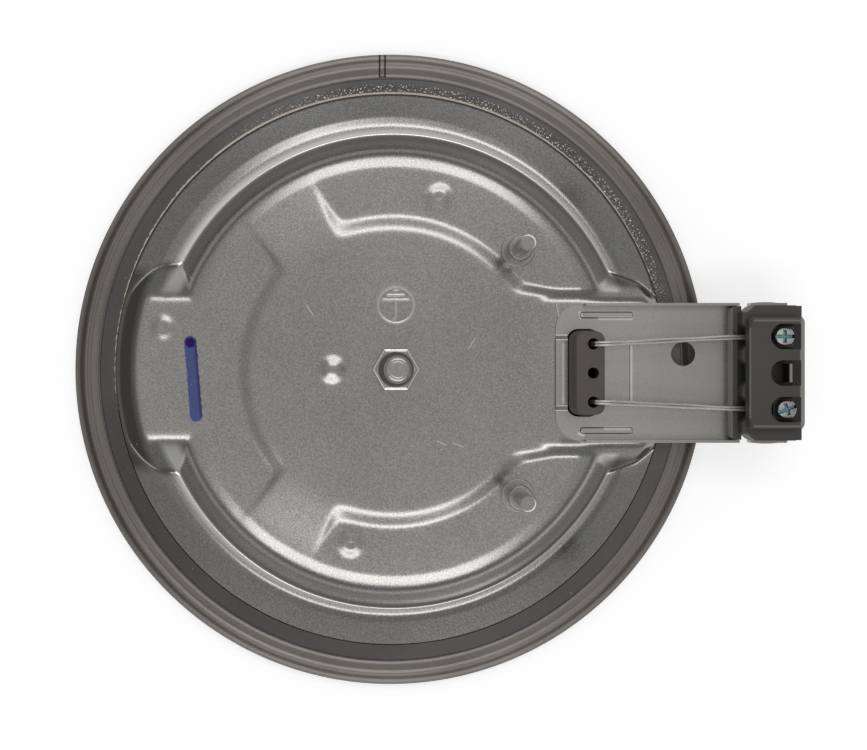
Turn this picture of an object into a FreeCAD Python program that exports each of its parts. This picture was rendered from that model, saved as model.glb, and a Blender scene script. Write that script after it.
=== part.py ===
import FreeCAD, Part
import math
import os

# Electric cast-iron hotplate, 180 mm, lying on its cooking face as on a bench.
# Origin: centre of the cooking face. +Z points from the cooking face to the
# underside, where the fixing stud and the terminals are. +X points to the
# terminal block. Lengths are millimetres.

Vec = FreeCAD.Vector
UP = Vec(0, 0, 1)

# Cast plate
plate_r = 90.0                 # cooking face, outer radius
plate_edge_r = 1.2             # round at the rim of the cooking face
recess_r = 27.0                # unheated middle of the cooking face
recess_depth = 1.2
recess_slope = 1.5             # radial width of the recess's turned edge
floor_t = 5.5                  # iron between the cooking face and the groove floor
rib_h = 6.5                    # height of the ribs between the groove's turns
seat_step = 0.6                # how far the ring seat stands out from the rim
seat_z0 = 3.6                  # ring seat, lower end
seat_h = 5.4
wall_h = 17.0                  # turned end face of the outer wall
wall_draft = 1.8               # how far the wall leans in above the ring seat
wall_end_w = 4.9               # width of the wall's end face
wall_ledge_w = 4.4             # ledge inside the wall that carries the cover
wall_round_r = 0.8
wall_foot_r = 1.0
valley_rib_w = 4.0             # rib that carries the cover's valley
boss_r = 11.0                  # middle boss that takes the stud
rib_top_z = floor_t + rib_h
seat_r = plate_r + seat_step
wall_mouth_r = seat_r - wall_draft - wall_end_w
wall_inner_r = wall_mouth_r - wall_ledge_w

# Spill ring, pressed from stainless sheet
ring_t = 0.6
ring_reach = 7.3               # from the collar's outside to the lip's outside
ring_floor_z = 3.4             # lowest point of the channel
ring_lip_h = 2.0               # edge that stands on the hob, above the channel
collar_h = 4.8                 # collar, above the channel
ring_floor_w = 1.6             # flat beside the collar
ring_step_h = 0.6              # stiffening step, height and width
ring_step_w = 1.3
ring_bend_r = 0.9
ring_inner_bend_r = 0.3

# Base cover, embossed from sheet. Heights are those of its upper side.
cover_t = 0.6
cover_gap = 0.3                # between the cover's edge and the wall
rim_drop = 0.4                 # cover's edge, below the wall's end face
pad_h = 2.6                    # pads and left lug, above the edge
middle_rise = 1.0              # middle field, above the pads
platform_rise = 0.4            # platform under the bracket, above the middle field
valley_depth = 3.6             # sharp valley round the field, below the edge
valley_rise_h = 0.8            # rise of the valley's gentle outer side
flange_w = 6.7                 # sloping outer flange
valley_rise_w = 4.2            # gentle outer side of the valley
field_slope_w = 8.7            # from the valley up to the raised field
pad_w = 21.0                   # from the field's edge to the top of the middle field
field_round_r = 4.3
flange_round_r = 3.0
wall_run = 4.0                 # plan width of the embossed slopes
arm_angle_deg = (124.5, 235.5)
arm_half_w = 8.6
arm_stop_w = 4.0               # from an arm's end to the field's edge
platform_half_w = 22.2
platform_end_gap = 1.8         # from the top of the platform's ramp to the bracket
platform_ramp_w = 4.5
platform_side_w = 1.5
neck_run = 2.8                 # side slope of the middle field beside the platform
right_lug_in = 3.6             # round end of the right lug's top, from the edge
right_lug_run = 2.6            # plan width of its end slope, down to the edge
right_lug_side_run = 3.7
left_lug_in = 7.3              # round end of the left lug's top, from the edge
left_lug_run = 3.2
left_lug_half_w = 21.5
left_lug_side_run = 4.6
cover_r = wall_mouth_r - cover_gap
valley_rise_r = cover_r - flange_w
valley_r = valley_rise_r - valley_rise_w
field_r = valley_r - field_slope_w
middle_r = field_r - pad_w
arm_out_r = field_r - arm_stop_w
right_lug_r = cover_r - right_lug_in
left_lug_r = cover_r - left_lug_in
rim_z = wall_h - rim_drop
pad_z = rim_z + pad_h
centre_z = pad_z + middle_rise
platform_z = centre_z + platform_rise
valley_z = rim_z - valley_depth
flange_slope = (rim_z - valley_z - valley_rise_h) / flange_w

# Spiral groove and heating coil, laid in embedding compound
spiral_pitch = 12.0
spiral_turns = 3
spiral_turn_deg = -60.0        # where the spiral starts, seen from above
spiral_land = 2.7              # iron between the groove and the valley rib
groove_w = 8.0
groove_floor_r = 2.0
coil_r = 2.6
coil_lift = 3.1                # coil's centre line, above the groove's floor
tail_r = 0.8                   # coil tail, a single wire
tail_lift = 1.2                # tail's level run, above the ribs
tail_bend_r = 1.6
tail_end_gap = 0.4             # from the end of the groove
tail_top = 1.8                 # upright end of the tail, above its level run
spiral_last_r = valley_r - valley_rib_w / 2 - spiral_land - groove_w / 2
spiral_r0 = spiral_last_r - spiral_turns * spiral_pitch
coil_z = floor_t + coil_lift
tail_z = rib_top_z + tail_lift
lead_foot_z = tail_z + tail_top

# Pressed domes: two on the pads, one on the left lug, and a cone on the middle
dome_r = 4.4
dome_h = 0.9
dome_pit_r = 1.35
dome_pit_depth = 0.5
dome_in = 11.2                 # from the middle field's edge
pad_dome_angle_deg = (74.4, 257.1)
lug_dome_in = 5.1              # from the left lug's end
lug_dome_angle_deg = 169.6
cone_place_r = 17.8
cone_r = 5.2
cone_h = 1.1
cone_top_r = 1.6

# Fixing stud and nut, M8
stud_x = 1.4                   # the stud stands a little off the plate's centre
stud_r = 4.0
stud_pitch_r = 3.6             # engaged threads are taken at their pitch radius
stud_l = 29.2                  # above the cover
stud_end_chamfer = 1.2
stud_depth = 9.0               # engaged length in the boss
stud_hole_gap = 0.3
nut_flats = 12.8
nut_h = 6.5
nut_chamfer_deg = 30.0
nut_face_share = 0.95          # round face, as a share of the width over flats

# Spacer pins on the two pads beside the terminals
pin_in = 10.4                  # from the middle field's edge
pin_angle_deg = 44.0
pin_flange_r = 5.1
pin_flange_h = 0.8
pin_flange_round_r = 0.25
pin_shoulder_r = 3.7
pin_shoulder_h = 9.5           # above the pad
pin_r = 2.35
pin_l = 28.2                   # above the pad
pin_end_chamfer = 0.4

# Terminal side: everything there is laid out about one axis line, and from the
# bracket's inner end
axis_y = -1.0
bracket_in = 14.4              # bracket's inner end, from the field's edge
bracket_x0 = field_r - bracket_in
platform_x0 = bracket_x0 - platform_end_gap
neck_half_w = platform_half_w + platform_side_w

# Ceramic bead
bead_in = 8.4                  # from the bracket's inner end
bead_half_x = 4.1
bead_end_w = 3.7               # from an outer hole to the bead's end
bead_corner_r = 2.6
bead_h = 14.6                  # above the cover
bead_step_up = 7.6             # shoulder of the wider lower part, above the cover
bead_step = 0.45
bead_flange = 1.6              # flange under the cover, how far it stands out
bead_flange_h = 2.2
bead_hole_r = 1.65
bead_hole_dx = 0.8
bead_hole_pitch = 8.5
bead_slot_w = 2.4              # slots that let the coil tails out below
bead_slot_h = 2.6
bead_gap = 0.25
bead_x = bracket_x0 + bead_in
bead_hole_x = bead_x + bead_hole_dx
bead_half_y = bead_hole_pitch + bead_end_w

# Terminal bracket, folded from sheet
bracket_t = 0.8
bracket_half_w = 20.9
bracket_corner_r = 7.5
bracket_flange_h = 4.6
bracket_flange_in = 8.6        # start of the side flanges
bracket_relief_in = 2.7        # relief notch, from the block's front
bracket_relief_l = 3.35
bracket_relief_depth = 2.8
bracket_tongue_half_w = 17.3   # end tongue
bracket_tongue_corner_r = 2.2
bracket_tongue_l = 5.4
bracket_square_end = 1.0       # from the block's far face to the flat's square end
bracket_window_gap = 0.6       # round the bead
bracket_bridge_half_w = 9.75   # raised strip between the window and the end
bracket_emboss_h = 0.6
bracket_rib_in = 6.9
bracket_rib_l = 16.8
bracket_rib_y = 17.4           # from the terminal axis
bracket_rib_half_w = 1.4
bracket_rib_top_half_w = 0.7
bracket_hole_in = 38.4
bracket_hole_y = 5.7           # from the terminal axis
bracket_hole_r = 3.65
bracket_slit_in = 22.2
bracket_slit_half = 8.6
bracket_slit_w = 0.3
snap_in = 10.4                 # bulge of the snap flanges, from the block's front
snap_r = 30.0
snap_h = 0.25
bracket_z = platform_z + bracket_t

# Terminal block, moulded in phenolic
block_in = 51.8
block_l = 17.9
block_gap = 0.2                # between the block and the bracket's flanges
block_corner_r = 0.8
sill_h = 5.8                   # front sill, above the bracket
sill_l = 1.6
wing_h = 10.8
wing_w = 3.7
body_h = 14.8
body_setback = 2.8
body_bevel = 0.6
wing_notch_in = 2.65           # notch, from the block's front
wing_notch_l = 4.0             # at its mouth, 1 mm outside the wing
wing_notch_depth = 2.1
wing_notch_slant = 3.75
chamber_pitch = 10.65
chamber_w = 7.4
chamber_l = 8.9
chamber_floor_h = 5.4
funnel_w = 8.0
funnel_inner_w = 5.4
funnel_l = 1.3
tunnel_h = 3.6
block_x0 = bracket_x0 + block_in
block_x1 = block_x0 + block_l
block_half_w = bracket_half_w - bracket_t - block_gap
body_half_w = block_half_w - wing_w
chamber_floor_z = bracket_z + chamber_floor_h

# Terminal metalwork
contact_side_gap = 1.2         # from the chamber's walls
contact_t = 1.0
contact_end_gap = 0.6          # from the open end of the chamber
contact_front = 6.0            # from the front of the block
screw_in = 3.2                 # from the open end of the chamber
screw_r = 1.5                  # M3
screw_head_r = 2.75
screw_head_h = 2.6
screw_head_round_r = 0.35
screw_slot_w = 0.65
screw_slot_depth = 1.0
screw_cross_share = 0.6        # reach of the cross recess, as a share of the head
screw_l = 4.2                  # below the clamp washer
screw_hole_gap = 0.3
clamp_side_gap = 0.6           # from the chamber's walls
clamp_t = 1.2
clamp_corner_r = 0.6
tab_side_gap = 1.0             # from the chamber's walls
tab_t = 0.8
tab_in = 3.0                   # from the open end of the chamber
tab_h = 7.6
tab_foot_l = 8.0
contact_top_z = chamber_floor_z + contact_t
screw_x = block_x1 - screw_in
tab_x = block_x1 - tab_in

# Leads: one wire laid double, from a coil tail to its contact
strand_r = 0.375
strand_offset = 0.34           # the two strands touch along their length
lead_bend_r = 1.2
lead_out = 1.7                 # from the bead's side to where the lead turns down
lead_end_l = 3.0               # laid on the contact
lead_rise = 1.2                # top of the bend above the bead

# Corner radius of a round-ended slot, as a share of its half width
round_end = 0.95

lead_sides = (1, -1)


def tangent_wire(points):
    """Closed wire through (x, z, round radius) points, in the XZ plane."""
    count = len(points)
    starts = []
    ends = []
    edges = []
    for i, (x, z, radius) in enumerate(points):
        corner = Vec(x, 0, z)
        before = Vec(points[i - 1][0], 0, points[i - 1][1]) - corner
        after = Vec(points[(i + 1) % count][0], 0, points[(i + 1) % count][1]) - corner
        before.normalize()
        after.normalize()
        if radius > 0:
            half = before.getAngle(after) / 2
            trim = radius / math.tan(half)
            middle = before + after
            middle.normalize()
            centre = corner + middle * (radius / math.sin(half))
            first = corner + before * trim
            last = corner + after * trim
            edges.append(Part.Arc(first, centre - middle * radius, last).toShape())
        else:
            first = corner
            last = corner
        starts.append(first)
        ends.append(last)
    for i in range(count):
        edges.append(Part.makeLine(ends[i - 1], starts[i]))
    return Part.Wire(Part.__sortEdges__(edges))


def revolved(points, centre_x=0.0):
    """Turn a closed (radius, height, round) outline about an upright axis."""
    shape = Part.Face(tangent_wire(points)).revolve(Vec(0, 0, 0), UP, 360)
    return solid_of(shape).translated(Vec(centre_x, 0, 0))


def solid_of(shape):
    """The shape as one outward solid."""
    if shape.ShapeType == "Solid":
        return shape
    if shape.Solids:
        return shape.Solids[0]
    return Part.Solid(shape.Shells[0])


def box(x0, x1, y0, y1, z0, z1):
    """Box between two corners."""
    return Part.makeBox(x1 - x0, y1 - y0, z1 - z0, Vec(x0, y0, z0))


def rod(radius, z0, z1, x, y):
    """Upright round bar."""
    return Part.makeCylinder(radius, z1 - z0, Vec(x, y, z0))


def rounded_outline(x0, x1, y0, y1, radius, z):
    """Rounded rectangle as a level wire."""
    rects = [(x1, y0), (x1, y1), (x0, y1), (x0, y0)]
    turned = tangent_wire([(x, y, radius) for x, y in rects])
    turned.rotate(Vec(0, 0, 0), Vec(1, 0, 0), -90)
    turned.translate(Vec(0, 0, z))
    return turned


def prism_outline(x0, x1, y0, y1, z):
    """Level rectangle as a wire."""
    corners = [Vec(x0, y0, z), Vec(x1, y0, z), Vec(x1, y1, z), Vec(x0, y1, z)]
    return Part.makePolygon(corners + corners[:1])


def drafted(lower, upper):
    """Ruled solid between two level outlines with matching edges."""
    return Part.makeLoft([lower, upper], True, True)


def rounded_block(x0, x1, y0, y1, radius, z0, z1):
    """Upright prism on a rounded rectangle."""
    face = Part.Face(rounded_outline(x0, x1, y0, y1, radius, z0))
    return face.extrude(Vec(0, 0, z1 - z0))


def prism(points, z0, z1):
    """Upright prism on a polygon."""
    corners = [Vec(x, y, z0) for x, y in points]
    return Part.Face(Part.makePolygon(corners + corners[:1])).extrude(Vec(0, 0, z1 - z0))


def joined(shapes):
    """One clean solid from overlapping ones."""
    return shapes[0].multiFuse(shapes[1:]).removeSplitter()


def bent_path(points, radius):
    """Open wire of straight runs with a tangent arc at every inner point."""
    spots = [Vec(*point) for point in points]
    edges = []
    last = spots[0]
    for i in range(1, len(spots) - 1):
        before = spots[i - 1] - spots[i]
        after = spots[i + 1] - spots[i]
        before.normalize()
        after.normalize()
        half = before.getAngle(after) / 2
        trim = radius / math.tan(half)
        middle = before + after
        middle.normalize()
        nearest = spots[i] + middle * (radius / math.sin(half) - radius)
        start = spots[i] + before * trim
        end = spots[i] + after * trim
        edges.append(Part.makeLine(last, start))
        edges.append(Part.Arc(start, nearest, end).toShape())
        last = end
    edges.append(Part.makeLine(last, spots[-1]))
    return Part.Wire(edges)


def wire_along(points, bend_radius, radius):
    """Round wire swept along a bent path."""
    path = bent_path(points, bend_radius)
    start = Vec(*points[0])
    heading = Vec(*points[1]) - start
    section = Part.Wire(Part.makeCircle(radius, start, heading))
    return solid_of(path.makePipeShell([section], True, False))


def half_turns():
    """Spiral as half circles: (centre x, radius, first or second half)."""
    turns = []
    for i in range(spiral_turns):
        radius = spiral_r0 + i * spiral_pitch
        turns.append((0.0, radius, 1))
        turns.append((spiral_pitch / 2, radius + spiral_pitch / 2, -1))
    return turns


def spiral_solid(outline):
    """Sweep a section round the spiral; outline gives a face at a radius."""
    pieces = []
    for centre_x, radius, side in half_turns():
        face = outline(radius)
        face.translate(Vec(centre_x, 0, 0))
        axis_point = Vec(centre_x, 0, 0)
        piece = face.revolve(axis_point, UP, 180 if side > 0 else -180)
        pieces.append(solid_of(piece))
    solid = joined(pieces)
    solid.rotate(Vec(0, 0, 0), UP, spiral_turn_deg)
    return solid


def groove_section(radius):
    """Groove between two ribs, with rounded floor corners."""
    half = groove_w / 2
    corner = groove_floor_r
    return Part.Face(tangent_wire([
        (radius - half, rib_top_z, 0),
        (radius - half, floor_t, corner),
        (radius + half, floor_t, corner),
        (radius + half, rib_top_z, 0),
    ]))


def coil_section(radius):
    """Wound coil, taken as a round bar of its outer size."""
    circle = Part.makeCircle(coil_r, Vec(radius, 0, coil_z), Vec(0, 1, 0))
    return Part.Face(Part.Wire(circle))


def spiral_end(radius, side):
    """Plan position of a riser just inside one end of the spiral."""
    spot = Vec(radius, side * (tail_r + tail_end_gap), 0)
    turn = FreeCAD.Rotation(UP, spiral_turn_deg)
    return turn.multVec(spot)


def bead_hole_y(side):
    """Y of the outer bead hole on one side of the terminal axis."""
    return axis_y + side * bead_hole_pitch


def cast_iron_plate():
    """Casting: cooking face, ring seat, outer wall, ribs, spiral groove."""
    ledge_top_z = rim_z - cover_t + cover_gap * flange_slope
    ledge_foot_z = ledge_top_z - wall_ledge_w * flange_slope
    wall_face_r = seat_r - wall_draft
    rib_seat_z = valley_z - cover_t
    body = revolved([
        (0, recess_depth, 0),
        (recess_r - recess_slope, recess_depth, 0),
        (recess_r, 0, 0),
        (plate_r, 0, plate_edge_r),
        (plate_r, seat_z0, 0),
        (seat_r, seat_z0, 0),
        (seat_r, seat_z0 + seat_h, 0),
        (wall_face_r, wall_h, wall_round_r),
        (wall_mouth_r, wall_h, 0),
        (wall_mouth_r, ledge_top_z, 0),
        (wall_inner_r, ledge_foot_z, 0),
        (wall_inner_r, rib_top_z, wall_foot_r),
        (valley_r + valley_rib_w / 2, rib_top_z, 0),
        (valley_r + valley_rib_w / 2, rib_seat_z, 0),
        (valley_r - valley_rib_w / 2, rib_seat_z, 0),
        (valley_r - valley_rib_w / 2, rib_top_z, 0),
        (0, rib_top_z, 0),
    ])
    boss = rod(boss_r, floor_t, centre_z - cover_t, stud_x, 0)
    body = joined([body, boss])
    body = body.cut(spiral_solid(groove_section))
    stud_hole = rod(stud_pitch_r, centre_z - cover_t - stud_depth, centre_z, stud_x, 0)
    return body.cut(stud_hole)


def tail_points(side):
    """Route of a coil tail, from the coil's end into its bead hole."""
    end = spiral_end(spiral_r0 if side > 0 else spiral_last_r, side)
    hole_y = bead_hole_y(side)
    slot_end_x = bead_x - bead_half_x - bead_flange - 2 * tail_bend_r
    return [
        (end.x, end.y, coil_z),
        (end.x, end.y, tail_z),
        (slot_end_x, hole_y, tail_z),
        (bead_hole_x, hole_y, tail_z),
        (bead_hole_x, hole_y, lead_foot_z),
    ]


def heating_coil():
    """Resistance coil in the spiral, with its two tails."""
    tails = [wire_along(tail_points(side), tail_bend_r, tail_r) for side in lead_sides]
    return joined([spiral_solid(coil_section)] + tails)


def embedding_compound(coil):
    """Pressed compound that fills the groove round the coil."""
    return spiral_solid(groove_section).cut(coil)


def spill_ring():
    """Stainless ring: collar on the plate, stepped channel, standing lip."""
    inner_r = seat_r
    outer_r = inner_r + ring_t
    floor_end = outer_r + ring_floor_w
    step_end = floor_end + ring_step_w
    step_z = ring_floor_z + ring_step_h
    lip_z = ring_floor_z + ring_lip_h
    lip_r = outer_r + ring_reach
    collar_end_z = ring_floor_z + collar_h
    return revolved([
        (inner_r, collar_end_z, 0),
        (inner_r, ring_floor_z - ring_t, ring_bend_r),
        (floor_end + ring_t / 2, ring_floor_z - ring_t, ring_bend_r),
        (step_end + ring_t / 2, step_z - ring_t, ring_bend_r),
        (lip_r, lip_z - 2 * ring_t, ring_bend_r),
        (lip_r, lip_z, 0),
        (lip_r - ring_t, lip_z, 0),
        (lip_r - ring_t, lip_z - ring_t, 0),
        (step_end, step_z, ring_bend_r),
        (floor_end, ring_floor_z, ring_inner_bend_r),
        (outer_r, ring_floor_z, ring_inner_bend_r),
        (outer_r, collar_end_z, 0),
    ])


def cover_disc(radius):
    """Round part of the cover's form: raised field, valley, sloping flange."""
    return revolved([
        (0, pad_z, 0),
        (field_r, pad_z, field_round_r),
        (valley_r, valley_z, 0),
        (valley_rise_r, valley_z + valley_rise_h, flange_round_r),
        (radius, rim_z + (radius - cover_r) * flange_slope, 0),
        (radius, 0, 0),
        (0, 0, 0),
    ])


def field_slope_cone():
    """The field's outer slope carried on above the pads, to trim what stands there."""
    slope = (pad_z - valley_z) / field_slope_w
    height = 2 * platform_rise + middle_rise
    return Part.makeCone(field_r, field_r - height / slope, height, Vec(0, 0, pad_z))


def middle_field():
    """Middle field that stands above the pads, with its sloped wall."""
    return Part.makeCone(middle_r + wall_run, middle_r, middle_rise, Vec(0, 0, pad_z))


def arm(angle_deg):
    """Arm of the middle field: its top falls to the pads near the field's edge."""
    inner = middle_r / 2
    half = arm_half_w + wall_run
    section = [Vec(inner, -half, pad_z), Vec(inner, half, pad_z),
               Vec(inner, arm_half_w, centre_z), Vec(inner, -arm_half_w, centre_z)]
    level = Part.Face(Part.makePolygon(section + section[:1]))
    level = level.extrude(Vec(middle_r - inner, 0, 0))
    foot = [Vec(middle_r, -half, pad_z), Vec(middle_r, half, pad_z),
            Vec(arm_out_r, arm_half_w, pad_z), Vec(arm_out_r, -arm_half_w, pad_z)]
    top = [Vec(middle_r, -arm_half_w, centre_z), Vec(middle_r, arm_half_w, centre_z)]
    outlines = [foot, [top[0], top[1], foot[2], foot[3]], [foot[0], foot[1], top[1], top[0]],
                [foot[1], foot[2], top[1]], [foot[3], foot[0], top[0]]]
    faces = [Part.Face(Part.makePolygon(outline + outline[:1])) for outline in outlines]
    wedge = solid_of(Part.Solid(Part.makeShell(faces)))
    shape = joined([level, wedge])
    shape.rotate(Vec(0, 0, 0), UP, angle_deg)
    return shape


def neck():
    """Middle field carried out under the bracket, with sloped sides."""
    half = neck_half_w + neck_run
    low = prism_outline(middle_r / 2, cover_r, axis_y - half, axis_y + half, pad_z)
    high = prism_outline(middle_r / 2, cover_r, axis_y - neck_half_w, axis_y + neck_half_w, centre_z)
    return drafted(low, high).common(field_slope_cone())


def platform():
    """Low platform that the bracket lies on, with a ramp at its inner end."""
    low = prism_outline(platform_x0 - platform_ramp_w, cover_r,
                        axis_y - neck_half_w, axis_y + neck_half_w, centre_z)
    high = prism_outline(platform_x0, cover_r,
                         axis_y - platform_half_w, axis_y + platform_half_w, platform_z)
    return drafted(low, high).common(field_slope_cone())


def lug(x0, end_r, y_mid, half_w, top_z, end_run, side_run):
    """Raised lug that bridges the valley from the field to the rim.

    Its sides slope down to the valley, and its end is part of a cone.
    """
    base_z = valley_z - cover_t
    scale = (top_z - base_z) / (top_z - rim_z)
    side = half_w + side_run * scale
    low = prism_outline(x0, cover_r, y_mid - side, y_mid + side, base_z)
    high = prism_outline(x0, cover_r, y_mid - half_w, y_mid + half_w, top_z)
    end = Part.makeCone(end_r + end_run * scale, end_r, top_z - base_z, Vec(0, 0, base_z))
    return drafted(low, high).common(end)


def right_lug():
    """Lug under the bracket, level with the platform."""
    return lug(platform_x0, right_lug_r, axis_y, platform_half_w, platform_z,
               right_lug_run, right_lug_side_run)


def left_lug():
    """Lug opposite the terminals, level with the pads."""
    shape = lug(field_r / 2, left_lug_r, 0, left_lug_half_w, pad_z,
                left_lug_run, left_lug_side_run)
    return shape.mirror(Vec(0, 0, 0), Vec(1, 0, 0))


def polar(radius, angle_deg):
    """Plan position at a radius and an angle from +X."""
    angle = math.radians(angle_deg)
    return radius * math.cos(angle), radius * math.sin(angle)


def dome_places():
    """Plan positions of the three domes."""
    places = [polar(middle_r + dome_in, angle) for angle in pad_dome_angle_deg]
    return places + [polar(left_lug_r - lug_dome_in, lug_dome_angle_deg)]


def dome(place, z):
    """Small pressed dome with a pit in its top."""
    x, y = place
    ball_r = (dome_r ** 2 + dome_h ** 2) / (2 * dome_h)
    ball = Part.makeSphere(ball_r, Vec(x, y, z + dome_h - ball_r))
    cap = ball.common(rod(dome_r, z - dome_h, z + dome_h, x, y))
    pit_z = z + dome_h - dome_pit_depth
    pit = Part.makeCone(dome_pit_r / 2, dome_pit_r, 2 * dome_pit_depth, Vec(x, y, pit_z))
    return cap, pit


def cover_form(radius):
    """Solid under the cover's upper side, out to a radius."""
    arms = [arm(angle) for angle in arm_angle_deg]
    field = cover_disc(radius).fuse([left_lug(), middle_field(), neck(), platform()] + arms)
    field = field.fuse(right_lug())
    for place in dome_places():
        cap, pit = dome(place, pad_z)
        field = field.fuse(cap).cut(pit)
    cone = Part.makeCone(cone_r, cone_top_r, cone_h, Vec(-cone_place_r, 0, centre_z))
    return field.fuse(cone).common(rod(radius, 0, 2 * pad_z, 0, 0))


def base_cover():
    """Embossed sheet cover: its form less the same form a sheet lower."""
    form = cover_form(cover_r)
    under = cover_form(cover_r + cover_gap).translated(Vec(0, 0, -cover_t))
    sheet = form.cut(under)
    sheet = sheet.cut(rod(stud_r + stud_hole_gap, 0, 2 * pad_z, stud_x, 0))
    window = bead_prism(bead_step + bead_gap, 0, 2 * pad_z)
    sheet = sheet.cut(window)
    return max(sheet.Solids, key=lambda solid: solid.Volume)


def central_stud():
    """M8 stud: end held in the boss and the nut, free end with a chamfer."""
    z0 = centre_z - cover_t - stud_depth
    top_z = centre_z + stud_l
    end_r = stud_r - stud_end_chamfer
    return revolved([
        (0, z0, 0),
        (stud_pitch_r, z0, 0),
        (stud_pitch_r, centre_z + nut_h, 0),
        (stud_r, centre_z + nut_h, 0),
        (stud_r, top_z - stud_end_chamfer / 2, 0),
        (end_r, top_z, 0),
        (0, top_z, 0),
    ], stud_x)


def fixing_nut():
    """Hexagon nut, chamfered on its upper face, flats facing up and down."""
    corner_r = nut_flats / math.sqrt(3)
    points = []
    for i in range(6):
        angle = math.radians(60 * i)
        points.append((stud_x + corner_r * math.cos(angle), corner_r * math.sin(angle)))
    top_z = centre_z + nut_h
    hexagon = prism(points, centre_z, top_z)
    drop = (corner_r - nut_flats / 2) * math.tan(math.radians(nut_chamfer_deg))
    face_r = nut_flats / 2 * nut_face_share
    widened_r = 2 * corner_r
    slope_h = (widened_r - face_r) * math.tan(math.radians(nut_chamfer_deg))
    dished = Part.makeCone(widened_r, face_r, slope_h, Vec(stud_x, 0, top_z - slope_h))
    lower = rod(widened_r, centre_z, top_z - slope_h, stud_x, 0)
    hexagon = hexagon.common(lower.fuse(dished).removeSplitter())
    hole = rod(stud_pitch_r, centre_z, top_z, stud_x, 0)
    lead_in = Part.makeCone(stud_pitch_r, stud_r, drop, Vec(stud_x, 0, top_z - drop))
    return hexagon.cut(hole).cut(lead_in)


def spacer_pin(side):
    """Turned pin: flange on the pad, shoulder, plain end."""
    top_z = pad_z + pin_l
    along, across = polar(middle_r + pin_in, pin_angle_deg)
    pin = revolved([
        (0, pad_z, 0),
        (pin_flange_r, pad_z, 0),
        (pin_flange_r, pad_z + pin_flange_h, pin_flange_round_r),
        (pin_shoulder_r, pad_z + pin_flange_h, 0),
        (pin_shoulder_r, pad_z + pin_shoulder_h, pin_end_chamfer),
        (pin_r, pad_z + pin_shoulder_h, 0),
        (pin_r, top_z - pin_end_chamfer, 0),
        (pin_r - pin_end_chamfer, top_z, 0),
        (0, top_z, 0),
    ], along)
    return pin.translated(Vec(0, axis_y + side * across, 0))


def bead_prism(grow, z0, z1):
    """Prism on the bead's outline, grown by a margin."""
    half_x = bead_half_x + grow
    half_y = bead_half_y + grow
    return rounded_block(bead_x - half_x, bead_x + half_x, axis_y - half_y,
                         axis_y + half_y, bead_corner_r + grow, z0, z1)


def ceramic_bead():
    """Three-hole bead, held by its flange between casting and cover."""
    flange_top = platform_z - cover_t
    top_z = platform_z + bead_h
    bead = joined([
        bead_prism(0, rib_top_z, top_z),
        bead_prism(bead_step, rib_top_z, platform_z + bead_step_up),
        bead_prism(bead_flange, flange_top - bead_flange_h, flange_top),
    ])
    slot_x0 = bead_x - bead_half_x - bead_flange
    for step in (1, 0, -1):
        hole_y = axis_y + step * bead_hole_pitch
        bead = bead.cut(rod(bead_hole_r, rib_top_z, top_z, bead_hole_x, hole_y))
        if step in lead_sides:
            half = bead_slot_w / 2
            slot_top = rib_top_z + bead_slot_h
            bead = bead.cut(box(slot_x0, bead_hole_x, hole_y - half, hole_y + half,
                                rib_top_z, slot_top))
    return bead


def bracket_plate(grow, z0=0.0):
    """Flat of the bracket up to its end tongue, with embossed strip and ribs."""
    half = bracket_half_w - bracket_t / 2
    end_x = block_x1 - bracket_square_end
    plate = rounded_block(bracket_x0 - grow, end_x, axis_y - half, axis_y + half,
                          bracket_corner_r, z0, bracket_z)
    flange_x0 = bracket_x0 + bracket_flange_in
    square = box(flange_x0, end_x + grow, axis_y - half, axis_y + half,
                 z0, bracket_z)
    tongue_half = bracket_tongue_half_w + grow
    tongue = rounded_block(flange_x0, block_x1 + bracket_tongue_l + grow,
                           axis_y - tongue_half, axis_y + tongue_half,
                           bracket_tongue_corner_r, z0, bracket_z)
    strip = box(bracket_x0 - grow, bead_x, axis_y - bracket_bridge_half_w,
                axis_y + bracket_bridge_half_w, z0, bracket_z + bracket_emboss_h)
    shapes = [plate, square, tongue, strip]
    rib_x0 = bracket_x0 + bracket_rib_in
    rib_x1 = rib_x0 + bracket_rib_l
    foot = bracket_rib_half_w
    top = bracket_rib_top_half_w
    for side in lead_sides:
        y = axis_y + side * bracket_rib_y
        low = rounded_outline(rib_x0, rib_x1, y - foot, y + foot, foot * round_end,
                              bracket_z - bracket_t)
        high = rounded_outline(rib_x0 + bracket_emboss_h, rib_x1 - bracket_emboss_h,
                               y - top, y + top, top * round_end,
                               bracket_z + bracket_emboss_h)
        shapes.append(drafted(low, high))
    return joined(shapes)


def bracket_flange(side, x0, x1):
    """Turned-up side flange between two stations."""
    y_out = axis_y + side * bracket_half_w
    y_in = y_out - side * bracket_t
    return box(x0, x1, min(y_out, y_in), max(y_out, y_in), platform_z,
               platform_z + bracket_flange_h)


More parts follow.
